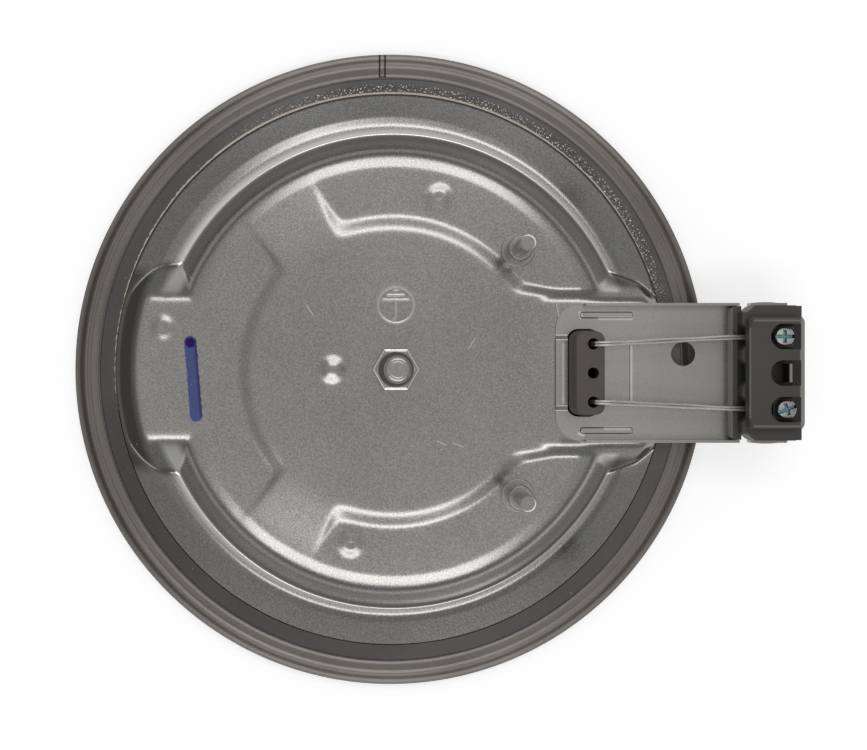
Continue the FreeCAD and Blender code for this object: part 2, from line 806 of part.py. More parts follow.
def terminal_bracket():
    """Folded bracket: window for the bead, ribs, flanges and snap bulges."""
    plate = bracket_plate(0)
    plate = plate.cut(bracket_plate(bracket_t).translated(Vec(0, 0, -bracket_t)))
    shapes = [plate]
    end_x = block_x1 - bracket_square_end
    snap_x = block_x0 + snap_in
    relief_x0 = block_x0 + bracket_relief_in
    relief_x1 = relief_x0 + bracket_relief_l
    slit_x = bracket_x0 + bracket_slit_in
    over = platform_z + bead_h
    for side in lead_sides:
        shapes.append(bracket_flange(side, bracket_x0 + bracket_flange_in, end_x))
        bulge_y = axis_y + side * (bracket_half_w - snap_r + snap_h)
        bulge = rod(snap_r, bracket_z, platform_z + bracket_flange_h, snap_x, bulge_y)
        skin = axis_y + side * (bracket_half_w - bracket_t / 2)
        edges = sorted((skin, skin + side * snap_r))
        shapes.append(bulge.common(box(snap_x - snap_r, snap_x + snap_r, edges[0], edges[1],
                                       0, bracket_z + bracket_flange_h)))
    bracket = joined(shapes)
    grow = bead_step + bracket_window_gap
    bracket = bracket.cut(bead_prism(grow, 0, over))
    for side in lead_sides:
        outer = axis_y + side * (bracket_half_w + snap_h)
        inner = axis_y + side * (bracket_half_w - bracket_relief_depth)
        edges = sorted((outer, inner))
        bracket = bracket.cut(box(relief_x0, relief_x1, edges[0], edges[1], 0, over))
    hole = rod(bracket_hole_r, 0, over, bracket_x0 + bracket_hole_in,
               axis_y + bracket_hole_y)
    slit = box(slit_x, slit_x + bracket_slit_w, axis_y - bracket_slit_half,
               axis_y + bracket_slit_half, 0, over)
    return bracket.cut(hole).cut(slit)


def chamber_centres():
    """Y of the three terminal chambers."""
    return [axis_y + step * chamber_pitch for step in (1, 0, -1)]


def block_chamber(y):
    """One chamber: round-ended pocket, wire funnel and tunnel between them."""
    half = chamber_w / 2
    top_z = bracket_z + body_h
    pocket = rounded_block(block_x1 - chamber_l, block_x1 + chamber_l, y - half, y + half,
                           half * round_end, chamber_floor_z, top_z)
    front_x = block_x0 + sill_l
    wide = funnel_w / 2
    slim = funnel_inner_w / 2
    funnel = prism([(front_x, y - wide), (front_x + funnel_l, y - slim),
                    (front_x + funnel_l, y + slim), (front_x, y + wide)],
                   chamber_floor_z, bracket_z + wing_h)
    tunnel = box(front_x + funnel_l / 2, block_x1 - chamber_l / 2, y - slim, y + slim,
                 chamber_floor_z, chamber_floor_z + tunnel_h)
    return joined([pocket, funnel, tunnel])


def terminal_block():
    """Three-chamber block with sill, notched wings and bevelled body."""
    y0 = axis_y - block_half_w
    y1 = axis_y + block_half_w
    front_x = block_x0 + sill_l
    base = rounded_block(block_x0, block_x1, y0, y1, block_corner_r, bracket_z,
                         bracket_z + sill_h)
    wings = rounded_block(front_x, block_x1, y0, y1, block_corner_r, bracket_z,
                          bracket_z + wing_h)
    body_x0 = block_x0 + body_setback
    top_z = bracket_z + body_h
    body = rounded_block(body_x0, block_x1, axis_y - body_half_w, axis_y + body_half_w,
                         block_corner_r, bracket_z, top_z - body_bevel)
    low = rounded_outline(body_x0, block_x1, axis_y - body_half_w, axis_y + body_half_w,
                          block_corner_r, top_z - body_bevel)
    high = rounded_outline(body_x0 + body_bevel, block_x1 - body_bevel,
                           axis_y - body_half_w + body_bevel,
                           axis_y + body_half_w - body_bevel, block_corner_r, top_z)
    block = joined([base, wings, body, drafted(low, high)])
    notch_x0 = block_x0 + wing_notch_in
    notch_x1 = notch_x0 + wing_notch_l
    for side in lead_sides:
        edge = axis_y + side * block_half_w
        deep = edge - side * wing_notch_depth
        for start_x, low_z in ((notch_x0, bracket_z), (front_x, bracket_z + sill_h)):
            notch = prism([(start_x, edge + side), (start_x, deep),
                           (notch_x1 - wing_notch_slant, deep), (notch_x1, edge + side)],
                          low_z, top_z)
            block = block.cut(notch)
    for y in chamber_centres():
        block = block.cut(block_chamber(y))
    for side in lead_sides:
        y = axis_y + side * chamber_pitch
        block = block.cut(rod(screw_r + screw_hole_gap, bracket_z, chamber_floor_z,
                              screw_x, y))
    return block


def contact_plate(side):
    """Brass strip on a chamber's floor, from the funnel to the screw."""
    y = axis_y + side * chamber_pitch
    half = chamber_w / 2 - contact_side_gap
    strip = box(block_x0 + contact_front, block_x1 - contact_end_gap, y - half, y + half,
                chamber_floor_z, contact_top_z)
    return strip.cut(rod(screw_r, chamber_floor_z, contact_top_z, screw_x, y))


def clamp_washer(side):
    """Square washer that the terminal screw pulls down."""
    y = axis_y + side * chamber_pitch
    half = chamber_w / 2 - clamp_side_gap
    plate = rounded_block(screw_x - half, screw_x + half, y - half, y + half,
                          clamp_corner_r, contact_top_z, contact_top_z + clamp_t)
    return plate.cut(rod(screw_r + screw_hole_gap, contact_top_z,
                         contact_top_z + clamp_t, screw_x, y))


def terminal_screw(side):
    """Cheese-head screw with slot and cross recess."""
    y = axis_y + side * chamber_pitch
    seat_z = contact_top_z + clamp_t
    top_z = seat_z + screw_head_h
    screw = revolved([
        (0, seat_z - screw_l, 0),
        (screw_r, seat_z - screw_l, 0),
        (screw_r, seat_z, 0),
        (screw_head_r, seat_z, 0),
        (screw_head_r, top_z, screw_head_round_r),
        (0, top_z, 0),
    ], screw_x).translated(Vec(0, y, 0))
    slot_half = screw_slot_w / 2
    depth_z = top_z - screw_slot_depth
    slot = box(screw_x - screw_head_r, screw_x + screw_head_r, y - slot_half,
               y + slot_half, depth_z, top_z)
    cross_half = screw_head_r * screw_cross_share
    cross = box(screw_x - slot_half, screw_x + slot_half, y - cross_half,
                y + cross_half, depth_z, top_z)
    return screw.cut(slot.fuse(cross))


def middle_tab():
    """Push-on blade in the middle chamber, bent up from its foot."""
    half = chamber_w / 2 - tab_side_gap
    foot = box(tab_x + tab_t - tab_foot_l, tab_x + tab_t, axis_y - half, axis_y + half,
               chamber_floor_z, chamber_floor_z + tab_t)
    blade = box(tab_x, tab_x + tab_t, axis_y - half, axis_y + half,
                chamber_floor_z, chamber_floor_z + tab_h)
    return joined([foot, blade])


def lead_wire(side):
    """Doubled lead from a coil tail over the bead to its contact."""
    hole_y = bead_hole_y(side)
    end_y = axis_y + side * chamber_pitch
    end_x = block_x0 + contact_front
    bend_z = platform_z + bead_h + lead_rise
    lie_z = contact_top_z + strand_r
    points = [
        (bead_hole_x, hole_y, lead_foot_z),
        (bead_hole_x, hole_y, bend_z),
        (bead_x + bead_half_x + lead_out, hole_y, bend_z),
        (end_x - 2 * lead_out, end_y, lie_z),
        (end_x + lead_end_l, end_y, lie_z),
    ]
    strand = wire_along(points, lead_bend_r, strand_r)
    pair = [strand.translated(Vec(0, offset, 0)) for offset in (strand_offset, -strand_offset)]
    return joined(pair)


def build():
    """Every node by name."""
    coil = heating_coil()
    nodes = {
        "cast_iron_plate": cast_iron_plate(),
        "spill_ring": spill_ring(),
        "base_cover": base_cover(),
        "heating_coil": coil,
        "embedding_compound": embedding_compound(coil),
        "central_stud": central_stud(),
        "fixing_nut": fixing_nut(),
        "ceramic_bead": ceramic_bead(),
        "terminal_bracket": terminal_bracket(),
        "terminal_block": terminal_block(),
        "middle_tab": middle_tab(),
    }
    for number, side in enumerate(lead_sides, 1):
        nodes[f"spacer_pin_{number}"] = spacer_pin(side)
        nodes[f"lead_wire_{number}"] = lead_wire(side)
        nodes[f"contact_plate_{number}"] = contact_plate(side)
        nodes[f"clamp_washer_{number}"] = clamp_washer(side)
        nodes[f"terminal_screw_{number}"] = terminal_screw(side)
    return nodes


def main():
    """Write one file per node."""
    os.makedirs("parts", exist_ok=True)
    for name, shape in build().items():
        shape.exportStep(os.path.join("parts", name + ".step"))


main()
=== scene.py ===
"""Looks of an electric cast-iron hotplate that lies on its cooking face.

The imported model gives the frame. Sheet-metal forms, threads and leads are surfaces
worked out here in millimetres, and every finish is a node material.
"""

import logging
import math
from dataclasses import dataclass
from enum import Enum
from typing import Any

import bpy
import numpy as np
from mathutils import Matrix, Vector


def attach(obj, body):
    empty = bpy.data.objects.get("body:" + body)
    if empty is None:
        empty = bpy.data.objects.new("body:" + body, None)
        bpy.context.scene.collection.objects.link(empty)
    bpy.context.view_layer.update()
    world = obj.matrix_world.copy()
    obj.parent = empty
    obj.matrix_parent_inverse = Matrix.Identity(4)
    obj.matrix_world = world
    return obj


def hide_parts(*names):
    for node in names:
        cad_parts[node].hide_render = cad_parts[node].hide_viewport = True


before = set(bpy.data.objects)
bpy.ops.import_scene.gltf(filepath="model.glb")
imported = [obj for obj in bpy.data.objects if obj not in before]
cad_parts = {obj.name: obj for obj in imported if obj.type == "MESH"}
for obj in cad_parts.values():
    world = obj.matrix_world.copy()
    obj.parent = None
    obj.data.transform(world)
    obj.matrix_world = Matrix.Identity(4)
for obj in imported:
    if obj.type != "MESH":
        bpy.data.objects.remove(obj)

LOG = logging.getLogger("hotplate")
MM = 0.001
BODY = "root"
AXIS_Y = -1.0                  # centre line of the terminal side, in millimetres
CHAMBER_PITCH = 10.65          # from there to the middle lines of the block's outer chambers
FAR = 9.0                      # a distance at which a form of the cover no longer counts

Array = np.ndarray
Tree = bpy.types.NodeTree
Socket = bpy.types.NodeSocket
Place = tuple[float, float]                # x and y, or two sizes, in millimetres
Span = tuple[float, float]                 # first and last value
Line = tuple[float, float, float, float]   # x and y of the first and the last point, in millimetres
Layer = tuple[Socket, str]                 # mask and sRGB hex colour laid over another colour


class Slot(Enum):
    """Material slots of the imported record."""

    COVER = "cover_steel"
    IRON = "cast_iron"
    RING = "ring_steel"
    BRACKET = "bracket_steel"
    PLATED = "plated_steel"
    PIN = "pin_steel"
    NICKEL = "nickel_wire"
    CONTACT = "contact_metal"
    CERAMIC = "bead_ceramic"
    PHENOLIC = "block_phenolic"


def to_linear(colour: str) -> tuple[float, float, float, float]:
    """Turn an sRGB hex colour into linear RGBA.

    Args:
        colour: six hex digits after a hash sign.

    Returns:
        Linear red, green and blue, and an alpha of 1. Each channel c is
        c / 12.92 below 0.04045 and ((c + 0.055) / 1.055) to the power 2.4 above.
    """
    parts = [int(colour[i:i + 2], 16) / 255 for i in (1, 3, 5)]
    linear = [c / 12.92 if c <= 0.04045 else ((c + 0.055) / 1.055) ** 2.4 for c in parts]
    return (*linear, 1.0)


def add(tree: Tree, kind: str, values: Any = (), out: int | str | None = 0, **settings: Any) -> Any:
    """Add a node with its settings and links.

    Args:
        tree: node tree that takes the node.
        kind: node type without the prefix that all shader nodes share.
        values: number, colour or output socket for each input, by name or number in
            a dict, or in the order of the inputs in a tuple.
        out: number or name of the wanted output, or None for all of them.
        **settings: properties of the node.

    Returns:
        The wanted output, or all outputs.
    """
    node = tree.nodes.new("ShaderNode" + kind)
    for name, value in settings.items():
        setattr(node, name, value)
    for key, value in values.items() if isinstance(values, dict) else enumerate(values):
        if isinstance(value, bpy.types.NodeSocket):
            tree.links.new(value, node.inputs[key])
        else:
            node.inputs[key].default_value = value
    return node.outputs if out is None else node.outputs[out]


def soft_ramp(x: Array, width: float | Array) -> Array:
    """Return 0 below nought and x above it, as half of x plus root of x squared plus width squared."""
    return 0.5 * (x + np.sqrt(x * x + width * width))


def soft_step(x: Array, limits: Span, width: float) -> Array:
    """Work out a soft rise from 0 at one limit to 1 at the other.

    Args:
        x: values.
        limits: where the rise starts and ends.
        width: softness of its two ends, as a share of the way between the limits.

    Returns:
        The difference of two soft ramps, of that share and of the share less one.
    """
    share = (x - limits[0]) / (limits[1] - limits[0])
    return soft_ramp(share, width) - soft_ramp(share - 1.0, width)


def soft_min(a: Array, b: Array, width: float) -> Array:
    """Return the lower of two heights with a rounded ridge: b less the soft ramp of b less a."""
    return b - soft_ramp(b - a, width)


def soft_max(a: Array, b: Array, width: float | Array) -> Array:
    """Return the higher of two heights with a rounded crease: b plus the soft ramp of a less b."""
    return b + soft_ramp(a - b, width)


@dataclass
class Patch:
    """Quads over a grid of points.

    Attributes:
        points: rows by columns by 3 array, millimetres.
        closed_columns: the last column joins the first.
        flip: turn the faces over.
    """

    points: Array
    closed_columns: bool = False
    flip: bool = False

    def faces(self, first: int) -> Array:
        """List the quads.

        Args:
            first: index of the patch's first vertex in the mesh.

        Returns:
            Faces by 4 array of vertex indices, each quad made of a grid point,
            its neighbour along the row, the one across, and the one below.
        """
        rows, columns = self.points.shape[:2]
        index = first + np.arange(rows * columns).reshape(rows, columns)
        if self.closed_columns:
            index = np.hstack([index, index[:, :1]])
        quads = np.stack([index[:-1, :-1], index[:-1, 1:], index[1:, 1:], index[1:, :-1]], axis=-1)
        quads = quads.reshape(-1, 4)
        return quads[:, ::-1] if self.flip else quads


def mesh_object(name: str, patches: list[Patch], sharp_deg: float = 40.0) -> bpy.types.Object:
    """Make one mesh object from patches.

    Args:
        name: name of the piece.
        patches: grids in millimetres; points that fall together are merged.
        sharp_deg: edges that turn by more than this stay sharp.

    Returns:
        The object, at the origin, with its place in its mesh. Points with the same
        rounded place become one, a quad with two corners in one place becomes a
        triangle, and one with fewer than three places is left out.
    """
    points = np.concatenate([patch.points.reshape(-1, 3) for patch in patches])
    starts = np.cumsum([0] + [patch.points.shape[0] * patch.points.shape[1] for patch in patches])
    quads = np.concatenate([patch.faces(int(start)) for patch, start in zip(patches, starts)])
    keys = np.round(points * 1e4).astype(np.int64)
    _, first, merged = np.unique(keys, axis=0, return_index=True, return_inverse=True)
    quads = merged.reshape(-1)[quads]
    points = points[first] * MM
    same = quads == np.roll(quads, -1, axis=1)
    quads = quads[same.sum(axis=1) <= 1]
    keep = quads != np.roll(quads, -1, axis=1)
    counts = keep.sum(axis=1)
    mesh = bpy.data.meshes.new(name)
    mesh.vertices.add(len(points))
    mesh.vertices.foreach_set("co", points.astype(np.float32).ravel())
    mesh.loops.add(int(counts.sum()))
    mesh.loops.foreach_set("vertex_index", quads[keep].astype(np.int32))
    mesh.polygons.add(len(quads))
    mesh.polygons.foreach_set("loop_start", (np.cumsum(counts) - counts).astype(np.int32))
    mesh.update(calc_edges=True)
    mesh.validate()
    mesh.shade_smooth()
    mesh.set_sharp_from_angle(angle=math.radians(sharp_deg))
    piece = bpy.data.objects.new(name, mesh)
    bpy.context.scene.collection.objects.link(piece)
    return piece


def hermite(points: Array, count: int) -> Array:
    """Return a smooth curve through points.

    Args:
        points: points by 2 or 3 array.
        count: number of places on the curve, evenly spread over the points' own run.

    Returns:
        Places on cubic runs between the points. Each run mixes its two ends and their
        slopes by the Hermite polynomials of the share t along it, and a slope is the
        change of place over the length, taken at each point from its neighbours.
    """
    run = np.concatenate([[0], np.cumsum(np.linalg.norm(np.diff(points, axis=0), axis=1))])
    fine = np.linspace(0, run[-1], count)
    slopes = np.gradient(points, run, axis=0)
    place = np.clip(np.searchsorted(run, fine, side="right") - 1, 0, len(run) - 2)
    span = run[place + 1] - run[place]
    t = ((fine - run[place]) / span)[:, None]
    a, b = points[place], points[place + 1]
    ta, tb = slopes[place] * span[:, None], slopes[place + 1] * span[:, None]
    return ((2 * t**3 - 3 * t**2 + 1) * a + (t**3 - 2 * t**2 + t) * ta
            + (-2 * t**3 + 3 * t**2) * b + (t**3 - t**2) * tb)


def unit(vectors: Array) -> Array:
    """Return vectors over their lengths, so that each is 1 long."""
    return vectors / np.linalg.norm(vectors, axis=1)[:, None]


def around(count: int) -> Array:
    """Return angles in radians that share a full turn evenly."""
    return np.linspace(0, 2 * np.pi, count, endpoint=False)


def revolve(radii: Array, heights: Array, turn: Array, centre: Place = (0.0, 0.0)) -> Array:
    """Turn a profile about an upright axis.

    Args:
        radii, heights: a value for each profile point, or for each point and angle.
        turn: angles in radians.
        centre: plan place of the axis.

    Returns:
        Points over profile by angle: radius times cosine and sine of the angle, and the height.
    """
    shape = (len(radii), len(turn))
    radius, height = (np.broadcast_to(v.reshape(len(v), -1), shape) for v in (radii, heights))
    return np.stack([centre[0] + radius * np.cos(turn), centre[1] + radius * np.sin(turn), height], axis=-1)


def box_patches(x: Place, y: Place, z: Place) -> list[Patch]:
    """Return the six sides of a box between its lower and upper limits along each axis."""
    corner = np.array([[[(a, b, c) for a in x] for b in y] for c in z])
    return [Patch(corner[0], flip=True), Patch(corner[1]), Patch(corner[:, 0]),
            Patch(corner[:, 1], flip=True), Patch(corner[:, :, 0], flip=True), Patch(corner[:, :, 1])]


def plan_radius(tree: Tree, place: Socket, centre: Place = (0.0, 0.0)) -> Socket:
    """Return the plan distance from an upright axis.

    Args:
        tree: node tree that takes the nodes.
        place: object coordinates in metres.
        centre: plan place of the axis, in millimetres.

    Returns:
        The length of the place with its height set to nought, less the centre; in metres.
    """
    own = add(tree, "VectorMath", (place, (1, 1, 0), (-centre[0] * MM, -centre[1] * MM, 0.0)),
              operation="MULTIPLY_ADD")
    return add(tree, "VectorMath", (own,), "Value", operation="LENGTH")


def ring_distance(tree: Tree, place: Socket, radius_mm: float, centre: Place = (0.0, 0.0)) -> Socket:
    """Return the plan distance to a circle, the size of the plan radius less its own; in metres."""
    off = add(tree, "Math", (plan_radius(tree, place, centre), radius_mm * MM), operation="SUBTRACT")
    return add(tree, "Math", (off,), operation="ABSOLUTE")


def line_distance(tree: Tree, place: Socket, *lines: Line) -> Socket:
    """Return the plan distance to the nearest of some straight lines.

    Args:
        tree: node tree that takes the nodes.
        place: object coordinates in metres.
        *lines: the lines, in millimetres.

    Returns:
        The least of the distances, in metres. Each is the length of the offset from
        the line's first point, less the line's own run times the offset's share
        along it, that share kept between 0 and 1.
    """
    least = None
    for line in lines:
        x0, y0, x1, y1 = (v * MM for v in line)
        run = (x1 - x0, y1 - y0, 0.0)
        offset = add(tree, "VectorMath", (place, (1, 1, 0), (-x0, -y0, 0.0)), operation="MULTIPLY_ADD")
        dot = add(tree, "VectorMath", (offset, run), "Value", operation="DOT_PRODUCT")
        share = add(tree, "MapRange", (dot, 0.0, run[0] ** 2 + run[1] ** 2))
        along = add(tree, "VectorMath", {0: run, "Scale": share}, operation="SCALE")
        away = add(tree, "VectorMath", (offset, along), "Value", operation="DISTANCE")
        least = away if least is None else add(tree, "Math", (least, away), operation="MINIMUM")
    return least


def greatest(tree: Tree, *masks: Socket) -> Socket:
    """Work out the greatest of some masks.

    Args:
        tree: node tree that takes the nodes.
        *masks: the masks.

    Returns:
        The greater of the first two, then of that and each further one.
    """
    most = masks[0]
    for mask in masks[1:]:
        most = add(tree, "Math", (most, mask), operation="MAXIMUM")
    return most


@dataclass(frozen=True)
class Finish:
    """Base of the finishes: a principled shader with a grain that varies it.

    Attributes:
        name: what the real material is.
        light: lighter colour of the grain.
        dark: darker colour of the grain.
        metallic: 1 for bare metal, 0 otherwise.
        roughness: mean roughness.
        grain_mm: size of the grain.
        grain_bump_mm: height of the grain's relief.
        rough_spread: how far the grain moves the roughness.
        cloud_mm: size of the slow change of tone.
        cloud: how far that change goes, from 0 to 1.
        edge_mm: radius that edges appear to have.
    """

    name: str
    light: str
    dark: str
    metallic: float = 1.0
    roughness: float = 0.4
    grain_mm: float = 0.6
    grain_bump_mm: float = 0.0
    rough_spread: float = 0.1
    cloud_mm: float = 30.0
    cloud: float = 0.5
    edge_mm: float = 0.0

    def material(self) -> bpy.types.Material:
        """Build the material once and give it back after that."""
        return bpy.data.materials.get(self.name) or self.build()

    def build(self) -> bpy.types.Material:
        """Build the node material.

        Returns:
            A material whose colour is a mix of the two tones by fine grain and
            slow clouds, and whose roughness and relief follow the grain.
        """
        material = bpy.data.materials.new(self.name)
        material.use_nodes = True
        tree = material.node_tree
        tree.nodes.clear()
        place = add(tree, "TexCoord", out="Object")
        grain = add(tree, "TexNoise", {
            "Vector": place, "Scale": 1 / (self.grain_mm * MM), "Detail": 3.0, "Roughness": 0.6})
        smooth, rough = self.roughness - self.rough_spread, self.roughness + self.rough_spread
        values = {
            "Base Color": self.colour(tree, place, grain), "Metallic": self.metallic,
            "Roughness": add(tree, "MapRange", (grain, 0.3, 0.7, smooth, rough))}
        normal = self.relief(tree, place, grain)
        if normal is not None:
            values["Normal"] = normal
        add(tree, "OutputMaterial", {"Surface": add(tree, "BsdfPrincipled", values)}, None)
        return material

    def colour(self, tree: Tree, place: Socket, grain: Socket) -> Socket:
        """Build the colour.

        Args:
            tree: node tree that takes the nodes.
            place: object coordinates in metres.
            grain: fine noise of the grain's size.

        Returns:
            The tone, of which each layer in turn covers the share that its mask gives.
        """
        base = self.tone(tree, place, grain)
        for mask, tint in self.layers(tree, place):
            base = add(tree, "Mix", {"Factor": mask, 6: base, 7: to_linear(tint)}, 2, data_type="RGBA")
        return base

    def layers(self, tree: Tree, place: Socket) -> list[Layer]:
        """Return the marks that lie over the tone in turn, none on a plain finish."""
        return []

    def tone(self, tree: Tree, place: Socket, grain: Socket) -> Socket:
        """Build the colour without its marks.

        Args:
            tree: node tree that takes the nodes.
            place: object coordinates in metres.
            grain: fine noise of the grain's size.

        Returns:
            The two tones, mixed by grain and clouds.
        """
        clouds = add(tree, "TexNoise", {
            "Vector": place, "Scale": 1 / (self.cloud_mm * MM), "Detail": 2.0})
        mixed = add(tree, "Mix", {"Factor": self.cloud, "A": grain, "B": clouds})
        share = add(tree, "MapRange", (mixed, 0.35, 0.65))
        return add(tree, "Mix", {
            "Factor": share, 6: to_linear(self.dark), 7: to_linear(self.light)}, 2, data_type="RGBA")

    def relief(self, tree: Tree, place: Socket, grain: Socket) -> Socket | None:
        """Build the normal.

        Args:
            tree: node tree that takes the nodes.
            place: object coordinates in metres.
            grain: fine noise of the grain's size.

        Returns:
            The normal with the grain's relief on softened edges, or None where the
            finish has neither.
        """
        base = None
        if self.edge_mm:
            base = add(tree, "Bevel", {"Radius": self.edge_mm * MM}, samples=4)
        if not self.grain_bump_mm:
            return base
        values = {"Height": grain, "Strength": 1.0, "Distance": self.grain_bump_mm * MM}
        if base is not None:
            values["Normal"] = base
        return add(tree, "Bump", values)


@dataclass(frozen=True)
class CoverSkin(Finish):
    """Aluminised sheet with a felt-pen stroke, scratches, and painted highlights, light and shade.

    Attributes:
        pen_line: middle line of the felt-pen stroke.
        pen_half: half width of the stroke.
        pen_rag: how far the stroke's outline wanders.
        pen_side: offset of the stroke's darker right side.
        scratches: bright scratches.
        sign_place: middle of the earth sign.
        sign_ring_r: radius of the sign's ring.
        sign_lines: the sign's straight ridges, with painted highlights on them.
        lit_slope_r: radius of the valley's outer side, lightened there with painted light.
        bead_shade_line: middle line of the opening under the ceramic bead, filled with painted shade.
        bead_shade_half: half width of that opening.
        dark_strip_line: middle line of a darker strip beside the bracket.
    """

    pen_line: Line = (-60.8, 8.3, -59.0, -14.0)
    pen_half: float = 1.85
    pen_rag: float = 0.9
    pen_side: float = 1.7
    scratches: tuple[Line, ...] = (
        (14.0, -21.6, 16.5, -22.8), (18.8, -22.4, 22.0, -23.4), (-25.6, 19.4, -23.4, 16.4),
        (25.4, 9.4, 23.4, 6.2), (50.0, 19.8, 50.8, 15.4), (-62.0, 29.2, -60.6, 27.6))
    sign_place: Place = (1.5, 19.4)
    sign_ring_r: float = 5.45
    sign_lines: tuple[Line, ...] = (
        (-2.4, 20.98, 5.4, 20.98), (-1.0, 22.41, 4.0, 22.41), (0.9, 23.87, 2.0, 23.87),
        (1.5, 20.9, 1.5, 16.1), (1.5, 16.1, 0.9, 15.1))
    lit_slope_r: float = 70.9
    bead_shade_line: Line = (58.0, AXIS_Y - 7.0, 58.0, AXIS_Y + 7.0)
    bead_shade_half: float = 7.5
    dark_strip_line: Line = (52.0, -21.6, 56.0, -21.9)

    def layers(self, tree: Tree, place: Socket) -> list[Layer]:
        """Build the marks of the sheet.

        Args:
            tree: node tree that takes the nodes.
            place: object coordinates in metres.

        Returns:
            Painted light on the valley's outer side, painted shade, painted shade in the
            opening under the bead, wear with painted highlights on the sign, and the felt-pen stroke.
        """
        height = add(tree, "SeparateXYZ", (place,), 2)
        # Painted light: the valley's outer side, below the pads' height, is lightened in its colour.
        low = add(tree, "MapRange", (height, 17.8 * MM, 18.7 * MM, 1.0, 0.0))
        lit_slope = ring_distance(tree, place, self.lit_slope_r)
        lit_slope = add(tree, "MapRange", (lit_slope, 1.6 * MM, 3.6 * MM, low, 0.0))
        # Painted shade: the opening under the bead is coloured near black.
        half = self.bead_shade_half * MM
        opening_shade = line_distance(tree, place, self.bead_shade_line)
        opening_shade = add(tree, "MapRange", (opening_shade, half, half + 0.1 * MM, 1.0, 0.0))
        # The pale d6d5d1 is painted light, 5d5c59 and 0b0a0a are painted shade, and c9c8c4 is wear with
        # painted highlights.
        return [(lit_slope, "#d6d5d1"), (self.painted_shade(tree, place), "#5d5c59"), (opening_shade, "#0b0a0a"),
                (self.wear_and_highlight(tree, place), "#c9c8c4"), *self.pen(tree, place)]

    def painted_shade(self, tree: Tree, place: Socket) -> Socket:
        """Build the mask of the painted shade.

        Args:
            tree: node tree that takes the nodes.
            place: object coordinates in metres.

        Returns:
            The greatest of four masks: painted shade on the slope past the left lug's end, a painted
            shadow along the upper half of the sheet's rim, painted shade in the creases that the attribute
            "fold" marks, and a darker strip beside the bracket.
        """
        # Painted shade and a painted shadow, laid into the sheet's colour.
        x, y, _ = add(tree, "SeparateXYZ", (place,), None)
        radius = plan_radius(tree, place)
        left = add(tree, "Math", (x, -50 * MM), operation="LESS_THAN")
        aside = add(tree, "Math", (y,), operation="ABSOLUTE")
        aside = add(tree, "MapRange", (aside, 28.5 * MM, 32.5 * MM, left, 0.0))
        end = add(tree, "MapRange", (radius, 79.5 * MM, 77.0 * MM, aside, 0.0))
        upper = add(tree, "MapRange", (y, 20 * MM, -5 * MM, 1.0, 0.0))
        rim = add(tree, "MapRange", (radius, 83.35 * MM, 83.15 * MM, upper, 0.0))
        fold = add(tree, "Attribute", out="Fac", attribute_name="fold")
        dark_strip = line_distance(tree, place, self.dark_strip_line)
        dark_strip = add(tree, "MapRange", (dark_strip, 0.2 * MM, 1.6 * MM, 0.6, 0.0))
        return greatest(tree, end, rim, fold, dark_strip)

    def wear_and_highlight(self, tree: Tree, place: Socket) -> Socket:
        """Build the mask of the worn marks and the painted highlights.

        Args:
            tree: node tree that takes the nodes.
            place: object coordinates in metres.

        Returns:
            The greatest of the masks of fine specks, scratches, and the painted
            highlights on the ridges and ring of the sign.
        """
        specks = add(tree, "TexNoise", {"Vector": place, "Scale": 1 / (1.3 * MM), "Detail": 0.0})
        specks = add(tree, "MapRange", (specks, 0.93, 0.89, 0.6, 0.0))
        scratch = line_distance(tree, place, *self.scratches)
        scratch = add(tree, "MapRange", (scratch, 0.05 * MM, 0.3 * MM, 0.7, 0.0))
        # Painted highlight: the sign's ridges and ring are drawn bright in the colour.
        ridge = line_distance(tree, place, *self.sign_lines)
        ridge = add(tree, "MapRange", (ridge, 0.1 * MM, 0.5 * MM, 0.6, 0.0))
        ring = ring_distance(tree, place, self.sign_ring_r, self.sign_place)
        ring = add(tree, "MapRange", (ring, 0.1 * MM, 0.5 * MM, 0.55, 0.0))
        return greatest(tree, specks, scratch, ridge, ring)

    def pen(self, tree: Tree, place: Socket) -> list[Layer]:
        """Draw the felt-pen stroke.

        Args:
            tree: node tree that takes the nodes.
            place: object coordinates in metres.

        Returns:
            The blue stroke, its darker right side and its dark start. The stroke ends
            where the distance from its line, moved by noise, passes its half width,
            and finer noise chips it.
        """
        wander = add(tree, "TexNoise", {"Vector": place, "Scale": 1 / (1.2 * MM), "Detail": 3.0})
        away = add(tree, "Math", (wander, self.pen_rag * MM, line_distance(tree, place, self.pen_line)),
                   operation="MULTIPLY_ADD")
        half = (self.pen_half + self.pen_rag / 2) * MM
        chips = add(tree, "TexNoise", {"Vector": place, "Scale": 1 / (0.8 * MM), "Detail": 2.0})
        chips = add(tree, "MapRange", (chips, 0.70, 0.74, 1.0, 0.0))
        stroke = add(tree, "MapRange", (away, half - 0.1 * MM, half + 0.1 * MM, chips, 0.0))
        body = add(tree, "Math", (stroke, 0.9), operation="MULTIPLY")
        x0, y0, x1, y1 = self.pen_line
        side = line_distance(tree, place, (x0 + self.pen_side, y0, x1 + self.pen_side, y1))
        strong = add(tree, "Math", (stroke, 0.7), operation="MULTIPLY")
        side = add(tree, "MapRange", (side, 0.2 * MM, 1.0 * MM, strong, 0.0))
        start = plan_radius(tree, place, (x0, y0 - 0.1))
        start = add(tree, "MapRange", (start, 1.2 * MM, 1.9 * MM, stroke, 0.0))
        return [(body, "#44518b"), (side, "#3b2b63"), (start, "#33205e")]


